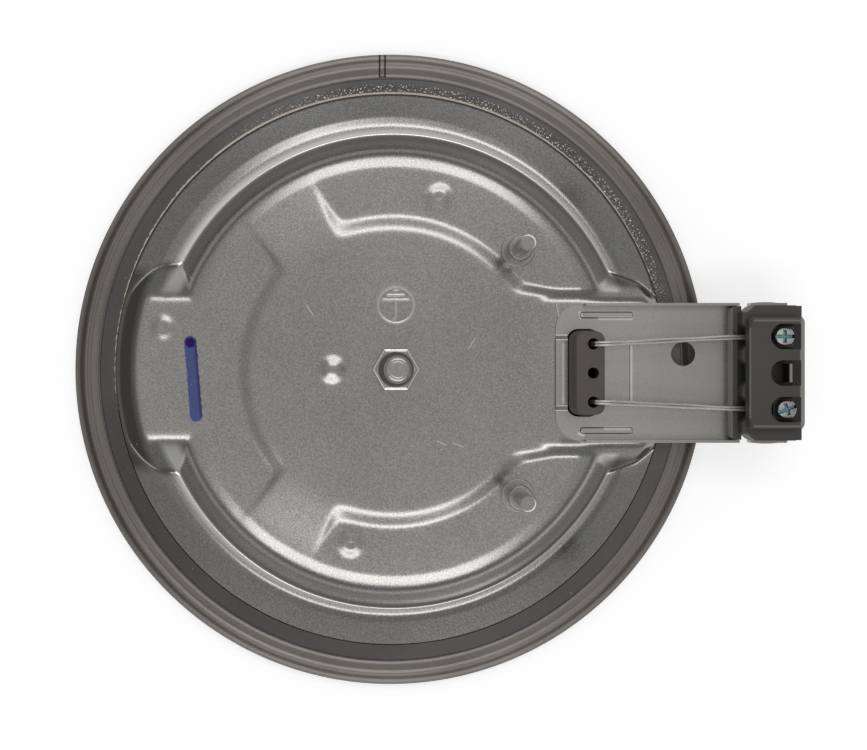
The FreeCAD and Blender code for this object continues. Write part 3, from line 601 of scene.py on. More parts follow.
@dataclass(frozen=True)
class CastSkin(Finish):
    """Cast iron: smooth dark skin with painted shade by direction, a rough band with painted glints, a
    turned sliver and a coated face.

    Attributes:
        lit_heading: plan direction toward which the skin's painted shade is lightest.
        rough_heading: plan direction of the rough band's middle.
        rough_band_mm: inner and outer radius of that band.
        sliver_heading: plan direction in which the turned sliver is widest.
        sliver_r_mm: radius that the sliver reaches.
        top_z_mm: height above which the wall's end face lies.
        coat_z_mm: height below which the cooking face's coat lies.
        glint, spark, tan, coat: colours of the band's painted glints, of the rare painted
        sparkles on the face, of the sliver and of the coat.
    """

    lit_heading: tuple[float, float, float] = (0.45, 0.89, 0.0)
    rough_heading: tuple[float, float, float] = (0.42, 0.91, 0.0)
    rough_band_mm: tuple[float, float] = (84.0, 86.9)
    sliver_heading: tuple[float, float, float] = (-0.1, 0.99, 0.0)
    sliver_r_mm: float = 84.25
    top_z_mm: float = 15.0
    coat_z_mm: float = 3.4
    glint: str = "#d6d2cc"
    spark: str = "#a9a7a3"
    tan: str = "#b0a79c"
    coat: str = "#1c1b1a"

    def tone(self, tree: Tree, place: Socket, grain: Socket) -> Socket:
        """Build the colour without its marks.

        Args:
            tree: node tree that takes the nodes.
            place: object coordinates in metres.
            grain: fine noise of the grain's size.

        Returns:
            The skin, dimmed with painted shade, least toward the lit heading.
        """
        # Painted shade: the colour is dimmed by the plan direction from the axis.
        toward = self.toward(tree, place, self.lit_heading)
        dim = add(tree, "MapRange", (toward, -0.9, 0.6, 0.55, 0.82))
        tone = super().tone(tree, place, grain)
        return add(tree, "VectorMath", {0: tone, "Scale": dim}, operation="SCALE")

    def layers(self, tree: Tree, place: Socket) -> list[Layer]:
        """Build the marks of the casting.

        Args:
            tree: node tree that takes the nodes.
            place: object coordinates in metres.

        Returns:
            Painted glints of the rough band, rare painted sparkles, the turned sliver and the coat.
        """
        # Painted highlights: glints and sparks are bright colour, not reflections.
        glints = add(tree, "TexNoise", {"Vector": place, "Scale": 1 / (0.55 * MM), "Detail": 1.0})
        glints = add(tree, "MapRange", (glints, 0.66, 0.60, self.rough_share(tree, place), 0.0))
        sparks = add(tree, "TexNoise", {"Vector": place, "Scale": 1 / (0.6 * MM), "Detail": 0.0})
        sparks = add(tree, "MapRange", (sparks, 0.92, 0.86, self.top(tree, place), 0.0))
        height = add(tree, "SeparateXYZ", (place,), 2)
        coat_z = self.coat_z_mm * MM
        coat = add(tree, "MapRange", (height, coat_z, coat_z + 0.2 * MM, 1.0, 0.0))
        return [(glints, self.glint), (sparks, self.spark), (self.sliver(tree, place), self.tan),
                (coat, self.coat)]

    def toward(self, tree: Tree, place: Socket, heading: tuple[float, float, float]) -> Socket:
        """Return the cosine between a place's plan direction from the axis and a heading."""
        dot = add(tree, "VectorMath", (place, heading), "Value", operation="DOT_PRODUCT")
        return add(tree, "Math", (dot, plan_radius(tree, place)), operation="DIVIDE")

    def top(self, tree: Tree, place: Socket) -> Socket:
        """Return 1 on the wall's end face, 0 below it."""
        low = self.top_z_mm * MM
        return add(tree, "MapRange", (add(tree, "SeparateXYZ", (place,), 2), low, low + 0.2 * MM))

    def rough_share(self, tree: Tree, place: Socket) -> Socket:
        """Build the mask of the rough band.

        Args:
            tree: node tree that takes the nodes.
            place: object coordinates in metres.

        Returns:
            1 on the inner band of the wall's face at the upper right, fading round it.
        """
        low, high = self.rough_band_mm
        half = (high - low) / 2 * MM
        toward = self.toward(tree, place, self.rough_heading)
        sector = add(tree, "MapRange", (toward, 0.85, 0.45, self.top(tree, place), 0.0))
        away = ring_distance(tree, place, (low + high) / 2)
        return add(tree, "MapRange", (away, half - 0.5 * MM, half + 0.2 * MM, sector, 0.0))

    def relief(self, tree: Tree, place: Socket, grain: Socket) -> Socket | None:
        """Build the normal.

        Args:
            tree: node tree that takes the nodes.
            place: object coordinates in metres.
            grain: fine noise of the grain's size.

        Returns:
            The normal of sand grain, deep on the rough band and faint elsewhere.
        """
        depth = add(tree, "MapRange", (self.rough_share(tree, place), 0.0, 1.0, 0.12, 1.0))
        return add(tree, "Bump", {
            "Height": grain, "Strength": depth, "Distance": self.grain_bump_mm * MM})

    def sliver(self, tree: Tree, place: Socket) -> Socket:
        """Build the mask of the sliver that the turning tool cleaned.

        Args:
            tree: node tree that takes the nodes.
            place: object coordinates in metres.

        Returns:
            1 from the bore to a ragged radius, which noise moves and which shrinks
            to nothing away from the top; 0 on the skin.
        """
        ragged = add(tree, "TexNoise", {"Vector": place, "Scale": 1 / (1.3 * MM), "Detail": 4.0})
        slow = add(tree, "TexNoise", {"Vector": place, "Scale": 1 / (30.0 * MM), "Detail": 1.0})
        wave = add(tree, "Math", (ragged, slow), operation="ADD")
        toward = self.toward(tree, place, self.sliver_heading)
        reach = add(tree, "Math", (toward, 0.9, wave), operation="MULTIPLY_ADD")
        limit = add(tree, "MapRange", (
            reach, 0.7, 1.7, (self.sliver_r_mm - 0.75) * MM, (self.sliver_r_mm + 0.3) * MM))
        inside = add(tree, "Math", (limit, plan_radius(tree, place)), operation="SUBTRACT")
        return add(tree, "MapRange", (inside, 0.1 * MM, 0.0, self.top(tree, place), 0.0))


@dataclass(frozen=True)
class RingSkin(Finish):
    """Stainless ring: rolled strip with dark lines at its lap joint.

    Attributes:
        joint: the two edges of the lap.
    """

    joint: tuple[Line, ...] = ((-3.3, 85.0, -3.3, 105.0), (-1.6, 85.0, -1.6, 105.0))

    def layers(self, tree: Tree, place: Socket) -> list[Layer]:
        """Return the dark lines along the two edges of the joint."""
        away = line_distance(tree, place, *self.joint)
        return [(add(tree, "MapRange", (away, 0.15 * MM, 0.4 * MM, 0.85, 0.0)), "#2c2926")]


@dataclass(frozen=True)
class ScrewSkin(Finish):
    """Plated metal whose low parts have a tint: on the screws the blue green of passivation, on the blade
    painted shade.

    Attributes:
        recess_z_mm: height below which the tint lies.
        tint: its colour.
    """

    recess_z_mm: float = 31.2
    tint: str = "#568590"

    def layers(self, tree: Tree, place: Socket) -> list[Layer]:
        """Return the tint, which lies below the face."""
        height, face = add(tree, "SeparateXYZ", (place,), 2), self.recess_z_mm * MM
        return [(add(tree, "MapRange", (height, face - 0.25 * MM, face, 0.85, 0.0)), self.tint)]


@dataclass(frozen=True)
class NutSkin(Finish):
    """Plated nut with a painted highlight along its hexagon edge and painted shade round the stud.

    Attributes:
        centre: plan place of the nut's axis.
        flats_deg: directions of three of the flats; the others face them.
        half_mm: half the width over the flats.
        shade_r_mm: radius of the painted shade.
        face_z_mm: height above which the end face lies.
    """

    centre: Place = (1.4, 0.0)
    flats_deg: tuple[float, ...] = (30.0, 90.0, 150.0)
    half_mm: float = 6.05
    shade_r_mm: float = 5.45
    face_z_mm: float = 26.0

    def layers(self, tree: Tree, place: Socket) -> list[Layer]:
        """Build the marks of the nut's end face.

        Args:
            tree: node tree that takes the nodes.
            place: object coordinates in metres.

        Returns:
            The painted shade and the painted highlight on the edge, which lies where
            the greatest of the offsets toward the flats nears half the width.
        """
        x, y = (v * MM for v in self.centre)
        own = add(tree, "VectorMath", (place, (x, y, 0.0)), operation="SUBTRACT")
        offs = []
        for angle in self.flats_deg:
            heading = (math.cos(math.radians(angle)), math.sin(math.radians(angle)), 0.0)
            dot = add(tree, "VectorMath", (own, heading), "Value", operation="DOT_PRODUCT")
            offs.append(add(tree, "Math", (dot,), operation="ABSOLUTE"))
        # Painted shade round the stud and a painted highlight along the hexagon edge.
        height = add(tree, "SeparateXYZ", (place,), 2)
        face_z, half, shade_r = self.face_z_mm * MM, self.half_mm * MM, self.shade_r_mm * MM
        face = add(tree, "MapRange", (height, face_z, face_z - 0.3 * MM, 1.0, 0.0))
        edge = add(tree, "MapRange", (
            greatest(tree, *offs), half - 0.15 * MM, half - 0.4 * MM, face, 0.0))
        shade_share = add(tree, "Math", (face, 0.6), operation="MULTIPLY")
        nut_shade = plan_radius(tree, place, self.centre)
        nut_shade = add(tree, "MapRange", (nut_shade, shade_r - 0.2 * MM, shade_r, shade_share, 0.0))
        return [(nut_shade, "#4c4b49"), (edge, "#f2f1ed")]


@dataclass(frozen=True)
class PinSkin(Finish):
    """Turned pins with a painted highlight along the edge of their ends, on the side that faces outward.

    Attributes:
        edges: for each pin, the plan middle of the painted highlight arc, a little inward of its axis.
        edge_r_mm: inner radius of the arc.
        reach_mm: radius past which other places are left alone.
        end_z_mm: height from which the marks count, just under the pins' ends.
    """

    edges: tuple[Place, ...] = ((38.16, 35.85), (38.16, -37.85))
    edge_r_mm: float = 2.05
    reach_mm: float = 3.4
    end_z_mm: float = 47.3

    def layers(self, tree: Tree, place: Socket) -> list[Layer]:
        """Build the marks of the pins.

        Args:
            tree: node tree that takes the nodes.
            place: object coordinates in metres.

        Returns:
            For each pin, a nearly white painted highlight arc along the outward part of its end's edge.
        """
        # Painted highlights along the pins' end edges.
        arcs = []
        height = add(tree, "SeparateXYZ", (place,), 2)
        end_z, edge_r, reach = self.end_z_mm * MM, self.edge_r_mm * MM, self.reach_mm * MM
        high = add(tree, "MapRange", (height, end_z, end_z - 0.2 * MM, 1.0, 0.0))
        for centre in self.edges:
            away = plan_radius(tree, place, centre)
            near = add(tree, "MapRange", (away, reach, reach + 0.1 * MM, high, 0.0))
            arc = add(tree, "MapRange", (away, edge_r + 0.15 * MM, edge_r, near, 0.0))
            arcs.append((arc, "#f4f3f0"))
        return arcs


@dataclass(frozen=True)
class BracketSkin(Finish):
    """Stainless sheet with painted highlight lines where its pressed forms turn toward the light, and
    painted shade toward the block.

    Attributes:
        lines: the painted highlight lines.
    """

    lines: tuple[Line, ...] = (
        (62.7, 15.4, 72.4, 15.4), (56.9, 17.1, 57.2, 15.8), (64.4, -17.7, 71.6, -17.7),
        (56.7, -19.3, 57.9, -19.8), (51.8, 7.6, 51.8, -10.0), (72.3, 6.9, 72.3, -9.9))

    def layers(self, tree: Tree, place: Socket) -> list[Layer]:
        """Build the marks of the bracket.

        Args:
            tree: node tree that takes the nodes.
            place: object coordinates in metres.

        Returns:
            Painted shade that grows toward the block, and the painted highlight lines.
        """
        x = add(tree, "SeparateXYZ", (place,))
        # Painted shade darkening toward the block, and painted highlights along the pressed forms.
        shade_share = add(tree, "MapRange", (x, 99 * MM, 78 * MM, 0.3, 0.0))
        away = line_distance(tree, place, *self.lines)
        lit = add(tree, "MapRange", (away, 0.1 * MM, 0.7 * MM, 0.6, 0.0))
        return [(shade_share, "#6f6e6b"), (lit, "#e6e5e1")]


@dataclass(frozen=True)
class PhenolicSkin(Finish):
    """Moulded block with painted shade in its chambers, painted light on its front face and painted
    highlights on its edges.

    Attributes:
        chamber_half: half width of a chamber.
        edge_highlight: edges painted pale as highlights.
    """

    chamber_half: float = 3.75
    edge_highlight: tuple[Line, ...] = (
        (119.1, 5.4, 119.1, 2.8), (119.1, -4.9, 119.1, -7.8), (105.6, 14.3, 118.6, 14.3),
        (105.6, -16.5, 118.6, -16.5), (104.4, -14.0, 104.4, 12.0))

    def layers(self, tree: Tree, place: Socket) -> list[Layer]:
        """Build the marks of the block.

        Args:
            tree: node tree that takes the nodes.
            place: object coordinates in metres.

        Returns:
            The painted shade of the chambers and their mouths, where light does not reach,
            and painted light on the front face and painted highlights on the edges.
        """
        x, y, z = add(tree, "SeparateXYZ", (place,), None)
        off = add(tree, "Math", (y, AXIS_Y * MM), operation="SUBTRACT")
        off = add(tree, "Math", (off,), operation="ABSOLUTE")
        side = add(tree, "Math", (off, CHAMBER_PITCH * MM), operation="SUBTRACT")
        side = add(tree, "Math", (side,), operation="ABSOLUTE")
        near = add(tree, "Math", (off, side), operation="MINIMUM")
        half = self.chamber_half * MM
        low = add(tree, "MapRange", (z, 34.8 * MM, 35.9 * MM, 1.0, 0.0))
        past = add(tree, "MapRange", (x, 110.4 * MM, 110.3 * MM, low, 0.0))
        pocket = add(tree, "MapRange", (near, half, half + 0.05 * MM, past, 0.0))
        slant = add(tree, "Math", (near, x), operation="ADD")
        floor = add(tree, "MapRange", (z, 27.0 * MM, 27.1 * MM, 1.0, 0.0))
        mouth = add(tree, "MapRange", (slant, 107.0 * MM, 107.1 * MM, floor, 0.0))
        middle = add(tree, "MapRange", (off, 19.6 * MM, 19.8 * MM, 1.0, 0.0))
        # Painted light on the front face and painted highlights along the edges.
        front = add(tree, "MapRange", (x, 101.42 * MM, 101.46 * MM, middle, 0.0))
        high = add(tree, "MapRange", (z, 35.3 * MM, 35.0 * MM, 0.4, 0.0))
        edge_highlight = line_distance(tree, place, *self.edge_highlight)
        edge_highlight = add(tree, "MapRange", (edge_highlight, 0.1 * MM, 0.4 * MM, high, 0.0))
        return [(greatest(tree, pocket, mouth), "#0f0e0e"), (front, "#a09f9b"), (edge_highlight, "#a09d99")]


# Real grain is mostly finer than the render can show, so every finish draws it at 0.4 mm
# or coarser.

# Steel with a bright zinc coat: the stud
ZINC = Finish("zinc_plated_steel", "#a5a49f", "#8e8d89", roughness=0.24, grain_mm=0.5,
              grain_bump_mm=0.0015, rough_spread=0.03, cloud=0.4, edge_mm=0.2)
# Nut: the same zinc coat, with a painted highlight on its edges and painted shade on its face
NUT_ZINC = NutSkin("zinc_plated_nut", "#a5a49f", "#8e8d89", roughness=0.24, grain_mm=0.5,
                   grain_bump_mm=0.0015, rough_spread=0.03, cloud=0.4)
# Screws: bright zinc, with the passivation left in the recess
SCREW_ZINC = ScrewSkin("zinc_plated_screw", "#c6c5c0", "#93928e", roughness=0.28, grain_mm=0.4,
                       grain_bump_mm=0.0006, cloud=0.4)
# Turned steel of the spacer pins, with a painted highlight on the edge round the end
TURNED = PinSkin("turned_steel", "#a09f9b", "#8b8a86", roughness=0.22, grain_mm=0.6,
                 grain_bump_mm=0.0008, rough_spread=0.03, cloud=0.4, edge_mm=0.2)
# Nickel wire of the leads, drawn and bright
NICKEL = Finish("drawn_nickel", "#d9d6cf", "#c4c1bb", roughness=0.42, grain_mm=0.5, rough_spread=0.04)
# Tinned contact strip, coloured dark as painted shade for its place deep in its chamber
BRASS = Finish("contact_brass", "#4d4a45", "#3d3a36", roughness=0.4, grain_mm=0.6)
# Tinned blade of the middle chamber, with painted shade below its upper part
BLADE = ScrewSkin("tinned_blade", "#9a958e", "#857f78", roughness=0.4, grain_mm=0.6,
                  recess_z_mm=32.5, tint="#131211")
# Steatite bead, pressed and fired: matt brown grey with fine pits
STEATITE = Finish("fired_steatite", "#5f5953", "#504b46", metallic=0.0, roughness=0.6,
                  grain_mm=0.4, grain_bump_mm=0.03, cloud=0.5, edge_mm=0.3)
# Phenolic moulding filled with wood flour: brown black with a dull shine
PHENOLIC = PhenolicSkin("moulded_phenolic", "#4a4745", "#3d3b39", metallic=0.0, roughness=0.5,
                        grain_mm=0.5, grain_bump_mm=0.01, cloud=0.5, edge_mm=0.3)
# Embedding compound, a pressed mineral powder: matt and pale
COMPOUND = Finish("pressed_magnesia", "#b9b2a4", "#9d978b", metallic=0.0, roughness=0.8,
                  grain_mm=0.5, grain_bump_mm=0.05)
# Resistance wire with its grey oxide
COIL_WIRE = Finish("oxidised_resistance_wire", "#77726c", "#5f5b56", roughness=0.5, grain_mm=0.5)
# Aluminised steel sheet, deep drawn: satin grey with a bright and dark speckle, whose
# crystals are really finer and are drawn at half a millimetre so that they show
COVER_SHEET = CoverSkin("aluminised_sheet", "#a2a19d", "#82817f", roughness=0.2, grain_mm=0.5,
                        grain_bump_mm=0.0014, rough_spread=0.02, cloud=0.2)
# Grey cast iron as it leaves the sand: a dark skin with painted glints on its grains on one side
CAST_SKIN = CastSkin("sand_cast_iron", "#6f6d6a", "#5d5b59", roughness=0.42, grain_mm=0.6,
                     grain_bump_mm=0.25, rough_spread=0.06, cloud=0.6)
# Stainless strip, rolled and drawn, with a brownish heat tint
RING_SHEET = RingSkin("heat_tinted_stainless", "#7b7773", "#6c6864", roughness=0.32, grain_mm=0.5,
                      grain_bump_mm=0.0008, rough_spread=0.03, cloud=0.5)
# Stainless sheet of the bracket, cold rolled: lighter and smoother than the cover
BRACKET_SHEET = BracketSkin("cold_rolled_stainless", "#a3a29e", "#989793", roughness=0.28,
                            grain_mm=0.8, rough_spread=0.01, cloud=0.5)


def dress(piece: bpy.types.Object, finish: Finish) -> None:
    """Give a piece one finish in all its material slots.

    Args:
        piece: new piece or CAD node.
        finish: finish that it takes.
    """
    piece.data.materials.clear()
    piece.data.materials.append(finish.material())
    LOG.info("%s: %s, %d faces", piece.name, finish.name, len(piece.data.polygons))


def settle(piece: bpy.types.Object, slot: Slot, finish: Finish, *nodes: str) -> None:
    """Let a new piece ride on the body and take its finish.

    Args:
        piece: new piece.
        slot: slot of the record that its finish belongs to; not used.
        finish: finish that it takes.
        *nodes: CAD nodes that it stands for.
    """
    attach(piece, BODY)
    if nodes:
        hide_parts(*nodes)
    dress(piece, finish)


@dataclass
class Studio:
    """Camera, lamps, world and floor.

    Attributes:
        nadir_px: point of the image straight below the camera.
        image_px: width and height of the image.
        camera_mm: camera's place.
        lens_mm: focal length on a sensor of sensor_mm.
        sensor_mm: sensor width.
        zenith_level, middle_level, horizon_level: brightness of the room overhead, at
            mid height and round the horizon.
        floor_glow: what the floor adds to its own white toward camera and gloss.
        floor_mm: half width and height of the floor.
    """

    nadir_px: tuple[float, float] = (365.0, 366.0)
    image_px: tuple[int, int] = (867, 750)
    camera_mm: tuple[float, float, float] = (-7.86, 1.05, 454.0)
    lens_mm: float = 59.6
    sensor_mm: float = 36.0
    zenith_level: float = 0.69
    middle_level: float = 0.34
    horizon_level: float = 0.66
    floor_glow: float = 0.52
    floor_mm: tuple[float, float] = (6000.0, -0.05)

    def build(self) -> None:
        """Make everything that stands round the object."""
        self.camera()
        self.lamp("soft_box_back", (0.08, 0.83, 2.05), (1.1, 0.42), 2.75)
        self.lamp("soft_box_front", (-0.08, -0.83, 2.05), (1.2, 0.42), 3.15)
        self.world()
        self.floor()

    def camera(self) -> None:
        """Place the camera straight above, with the shift that the framing needs."""
        data = bpy.data.cameras.new("camera")
        data.lens = self.lens_mm
        data.sensor_width = self.sensor_mm
        data.sensor_fit = "HORIZONTAL"
        width, height = self.image_px
        data.shift_x = (width / 2 - self.nadir_px[0]) / width
        data.shift_y = (self.nadir_px[1] - height / 2) / width
        camera = bpy.data.objects.new("camera", data)
        camera.location = [v * MM for v in self.camera_mm]
        bpy.context.scene.collection.objects.link(camera)
        bpy.context.scene.camera = camera

    def lamp(self, name: str, place: tuple[float, float, float], size: tuple[float, float],
             radiance: float) -> None:
        """Add a soft box aimed at the object.

        Args:
            name: name of the lamp.
            place: place in metres.
            size: width and height in metres.
            radiance: brightness of its face; its power is that times pi times its area.
        """
        data = bpy.data.lights.new(name, "AREA")
        data.shape = "RECTANGLE"
        data.size, data.size_y = size
        data.energy = radiance * math.pi * size[0] * size[1]
        lamp = bpy.data.objects.new(name, data)
        lamp.location = place
        lamp.rotation_euler = Vector(place).to_track_quat("Z", "Y").to_euler()
        bpy.context.scene.collection.objects.link(lamp)

    def world(self) -> None:
        """Make the room, which is light overhead and at the horizon and darker between them."""
        world = bpy.data.worlds.new("room")
        world.use_nodes = True
        tree = world.node_tree
        tree.nodes.clear()
        height = add(tree, "SeparateXYZ", (add(tree, "TexCoord", out="Generated"),), 2)
        high = add(tree, "MapRange", (height, 0.72, 0.97, self.middle_level, self.zenith_level))
        low = add(tree, "MapRange", (height, 0.15, 0.45, self.horizon_level, self.middle_level))
        level = greatest(tree, high, low)
        sky = add(tree, "Background", {"Color": (1, 1, 1, 1), "Strength": level})
        add(tree, "OutputWorld", {"Surface": sky}, None)
        bpy.context.scene.world = world

    def floor(self) -> None:
        """Lay a white floor that shows its own white to camera and gloss, and keeps the shadow."""
        half, height = self.floor_mm
        x, y = np.meshgrid([-half, half], [-half, half])
        floor = mesh_object("floor", [Patch(np.stack([x, y, np.full_like(x, height)], axis=-1))])
        material = bpy.data.materials.new("white_floor")
        material.use_nodes = True
        tree = material.node_tree
        tree.nodes.clear()
        ray = add(tree, "LightPath", out=None)
        seen = greatest(tree, ray["Is Camera Ray"], ray["Is Glossy Ray"], ray["Is Transmission Ray"])
        level = add(tree, "Math", (seen, self.floor_glow), operation="MULTIPLY")
        glow = add(tree, "Emission", {"Color": (1, 1, 1, 1), "Strength": level})
        paint = add(tree, "BsdfDiffuse", {"Color": (0.8, 0.8, 0.8, 1)})
        both = add(tree, "AddShader", (glow, paint))
        add(tree, "OutputMaterial", {"Surface": both}, None)
        floor.data.materials.append(material)


@dataclass(frozen=True)
class Boss:
    """Small round form on the cover.

    Attributes:
        x, y: plan place.
        radius: radius of its foot.
        height: height of its cap.
        pit: depth of the pit in its middle.
        pit_r: width of the pit's bell.
    """

    x: float
    y: float
    radius: float = 5.0
    height: float = 0.6
    pit: float = 0.3
    pit_r: float = 1.2

    def rise(self, x: Array, y: Array) -> Array:
        """Work out the form's height over the sheet.

        Args:
            x, y: plan positions.

        Returns:
            Half a cosine wave of the distance from the middle, less a bell for the pit.
        """
        away = np.hypot(x - self.x, y - self.y)
        cap = self.height * 0.5 * (1 + np.cos(math.pi * np.clip(away / self.radius, 0.0, 1.0)))
        return cap - self.pit * np.exp(-(away / self.pit_r) ** 2)


@dataclass
class BaseCover:
    """Embossed base cover as a height over the plan, in millimetres.

    Heights are those of the sheet's upper side. Radii are measured from the
    plate's centre, and widths of the terminal side from AXIS_Y.

    Attributes:
        sheet: thickness.
        edge_r, edge_z: radius and height of the edge.
        offset: place of the pressing's own centre.
        offset_end_r: radii between which that offset fades.
        pad_z: height of the pads.
        shoulder_r, field_r, valley_r, rise_r: radii at which the round part's slope changes.
        bend_rounds: softness of each of those bends.
        shoulder_fall: slope between the first two.
        valley_z, rise_z: heights at the last two.
        middle_r, middle_rise: radius of the middle field and its height over the pads.
        wall_run: plan width of its wall.
        top_round, foot_round: softness of the wall's top and foot, as shares of its run.
        trim_r: radii between which what is raised fades out.
        arm_deg, arm_half: directions of the two arms and half width of their tops.
        arm_runs: plan widths of each arm's sides.
        arm_out_r: radius at which an arm's top has fallen to the pads.
        arm_round, blend: softness of an arm's corners and of the creases between forms.
        neck_from_x, neck_half, neck_run: start, half width and side of the neck.
        neck_taper, neck_taper_x: how much narrower it becomes, and between which places.
        seat_z, seat_half, seat_x: the platform's height, half width and front slope.
        seat_slopes, seat_slope_x: slopes of its sides, and where the steeper takes over.
        seat_round: softness of its sides' top.
        seat_end_r, seat_end_slope, seat_end_round: its end.
        seat_reach: no seat lies nearer to the middle, or farther from its own middle line.
        lug_y, lug_half, lug_run: the left lug's middle line, half width and sides.
        lug_round: softness of its sides' top.
        lug_end_r, lug_end_slope, lug_end_round: its end.
        lug_x: the left lug lies past this.
        crease, crease_r: softness of the lugs' creases, and the radii between which it grows.
        seat_crease: softness that the seat's crease has on top of that.
        fold_half, fold_x, fold_r: half height and inner limits of the painted shade in the lugs' folds.
        bosses: domes and cone.
        mark_place, mark_h: place and height of the earth sign.
        mark_ring_r, mark_lines: its ring and its straight ridges.
        mark_half: half width of a ridge.
        mark_foot: radius, half width and share of the height of the rise round the ring.
        columns: columns of the mesh.
        upper_rows, lower_rows: for each zone, first and last radius and number of rows.
    """

    sheet: float = 0.6
    edge_r: float = 83.6
    edge_z: float = 17.0
    offset: Place = (0.75, -0.6)
    offset_end_r: Span = (73.4, 77.4)
    pad_z: float = 19.2
    shoulder_r: float = 62.0
    field_r: float = 66.4
    valley_r: float = 72.7
    rise_r: float = 75.2
    bend_rounds: tuple[float, ...] = (0.5, 0.9, 0.25, 0.5)
    shoulder_fall: float = 0.1
    valley_z: float = 12.7
    rise_z: float = 13.18
    middle_r: float = 43.0
    middle_rise: float = 1.0
    wall_run: float = 4.0
    top_round: float = 0.3
    foot_round: float = 0.18
    trim_r: Span = (64.0, 67.0)
    arm_deg: tuple[float, ...] = (124.5, 235.5)
    arm_half: float = 8.6
    arm_runs: tuple[Span, ...] = ((2.4, 3.8), (3.8, 2.4))
    arm_out_r: float = 60.0
    arm_round: float = 0.15
    blend: float = 0.6
    neck_from_x: float = 20.0
    neck_half: float = 23.7
    neck_run: float = 2.8
    neck_taper: float = 1.3
    neck_taper_x: Span = (42.0, 50.0)
    seat_z: float = 20.6
    seat_half: float = 22.2
    seat_x: Span = (43.6, 48.1)
    seat_slopes: Span = (0.5, 0.95)
    seat_slope_x: Span = (57.0, 65.0)
    seat_round: float = 1.1
    seat_end_r: float = 80.0
    seat_end_slope: float = 0.8
    seat_end_round: float = 0.7
    seat_reach: Span = (40.0, 40.0)
    lug_y: float = 0.3
    lug_half: float = 22.1
    lug_run: float = 9.8
    lug_round: float = 1.9
    lug_end_r: float = 77.3
    lug_end_slope: float = 0.44
    lug_end_round: float = 1.0
    lug_x: float = -50.0
    crease: Span = (0.05, 0.5)
    crease_r: Span = (67.0, 71.0)
    seat_crease: float = 0.1
    fold_half: float = 0.6
    fold_x: float = 50.0
    fold_r: float = 73.5
    bosses: tuple[Boss, ...] = (
        Boss(14.6, 52.2), Boss(-12.1, -52.8), Boss(-68.9, 12.7), Boss(-17.8, 0.0, 5.6, 0.8, 0.0))
    mark_place: Place = (1.5, 19.4)
    mark_h: float = 0.09
    mark_ring_r: float = 5.45
    mark_lines: tuple[Line, ...] = (
        (-3.9, 1.58, 3.9, 1.58), (-2.5, 3.0, 2.5, 3.0), (-0.6, 4.4, 0.5, 4.4),
        (0.0, 1.5, 0.0, -3.3), (0.0, -3.3, -0.6, -4.3))
    mark_half: float = 0.32
    mark_foot: tuple[float, float, float] = (6.1, 0.5, 0.5)
    columns: int = 560
    upper_rows: tuple[tuple[float, float, int], ...] = (
        (0.0, 12.5, 8), (12.5, 26.5, 48), (26.5, 40.0, 8), (40.0, 60.0, 28), (60.0, 83.6, 72))
    lower_rows: tuple[tuple[float, float, int], ...] = ((0.0, 60.0, 10), (60.0, 83.6, 11))

    def disc(self, r: Array) -> Array:
        """Work out the round part's height.

        Args:
            r: distances from the centre.

        Returns:
            The pads' height plus, at each bend, the change of slope times a soft ramp
            of the distance past the bend.
        """
        shoulder = self.shoulder_fall * (self.field_r - self.shoulder_r)
        fall = (self.pad_z - shoulder - self.valley_z) / (self.valley_r - self.field_r)
        rise = (self.rise_z - self.valley_z) / (self.rise_r - self.valley_r)
        flange = (self.edge_z - self.rise_z) / (self.edge_r - self.rise_r)
        bends = (self.shoulder_r, self.field_r, self.valley_r, self.rise_r)
        slopes = (0.0, -self.shoulder_fall, -fall, rise, flange)
        z = np.full_like(r, self.pad_z)
        for bend, width, before, after in zip(bends, self.bend_rounds, slopes, slopes[1:]):
            z += (after - before) * soft_ramp(r - bend, width)
        return z

    def share_of_offset(self, r: Array) -> Array:
        """Return 1 where the pressing's own centre holds, falling to 0 at the outer slope."""
        first, last = self.offset_end_r
        return np.clip((last - r) / (last - first), 0.0, 1.0)

    def ring_radius(self, x: Array, y: Array) -> Array:
        """Work out the distance from the centre.

        Args:
            x, y: plan positions.

        Returns:
            The distance from the pressing's own centre, a little off the plate's,
            inside the valley, and from the plate's beyond it, mixed by the offset's share.
        """
        r = np.hypot(x, y)
        own = np.hypot(x - self.offset[0], y - self.offset[1])
        return r + (own - r) * self.share_of_offset(r)

    def raised(self, x: Array, y: Array, r: Array) -> Array:
        """Work out how far the middle field stands up.

        Each form has a distance that is 0 where its top ends and 1 at its foot: the
        disc, the two arms, whose tops fall to the pads, and the neck under the
        bracket. The least distance counts, rounded where forms meet.

        Args:
            x, y: plan positions.
            r: their distances from the centre.

        Returns:
            0 on the pads to 1 on the field's top: one less a soft step of the distance.
        """
        away = (r - self.middle_r) / self.wall_run
        for angle, sides in zip(self.arm_deg, self.arm_runs):
            turn = math.radians(angle)
            along = x * math.cos(turn) + y * math.sin(turn)
            across = -x * math.sin(turn) + y * math.cos(turn)
            side = (np.abs(across) - self.arm_half) / np.where(across > 0, *sides)
            fall = (along - self.middle_r) / (self.arm_out_r - self.middle_r)
            arm = np.where(along > 0, soft_max(side, fall, self.arm_round), FAR)
            away = soft_min(away, arm, self.blend)
        half = self.neck_half - self.neck_taper * soft_step(x, self.neck_taper_x, 0.15)
        neck = (np.abs(y - AXIS_Y) - half) / self.neck_run
        away = soft_min(away, np.where(x > self.neck_from_x, neck, FAR), self.blend)
        return 1 - soft_ramp(away, self.top_round) + soft_ramp(away - 1, self.foot_round)

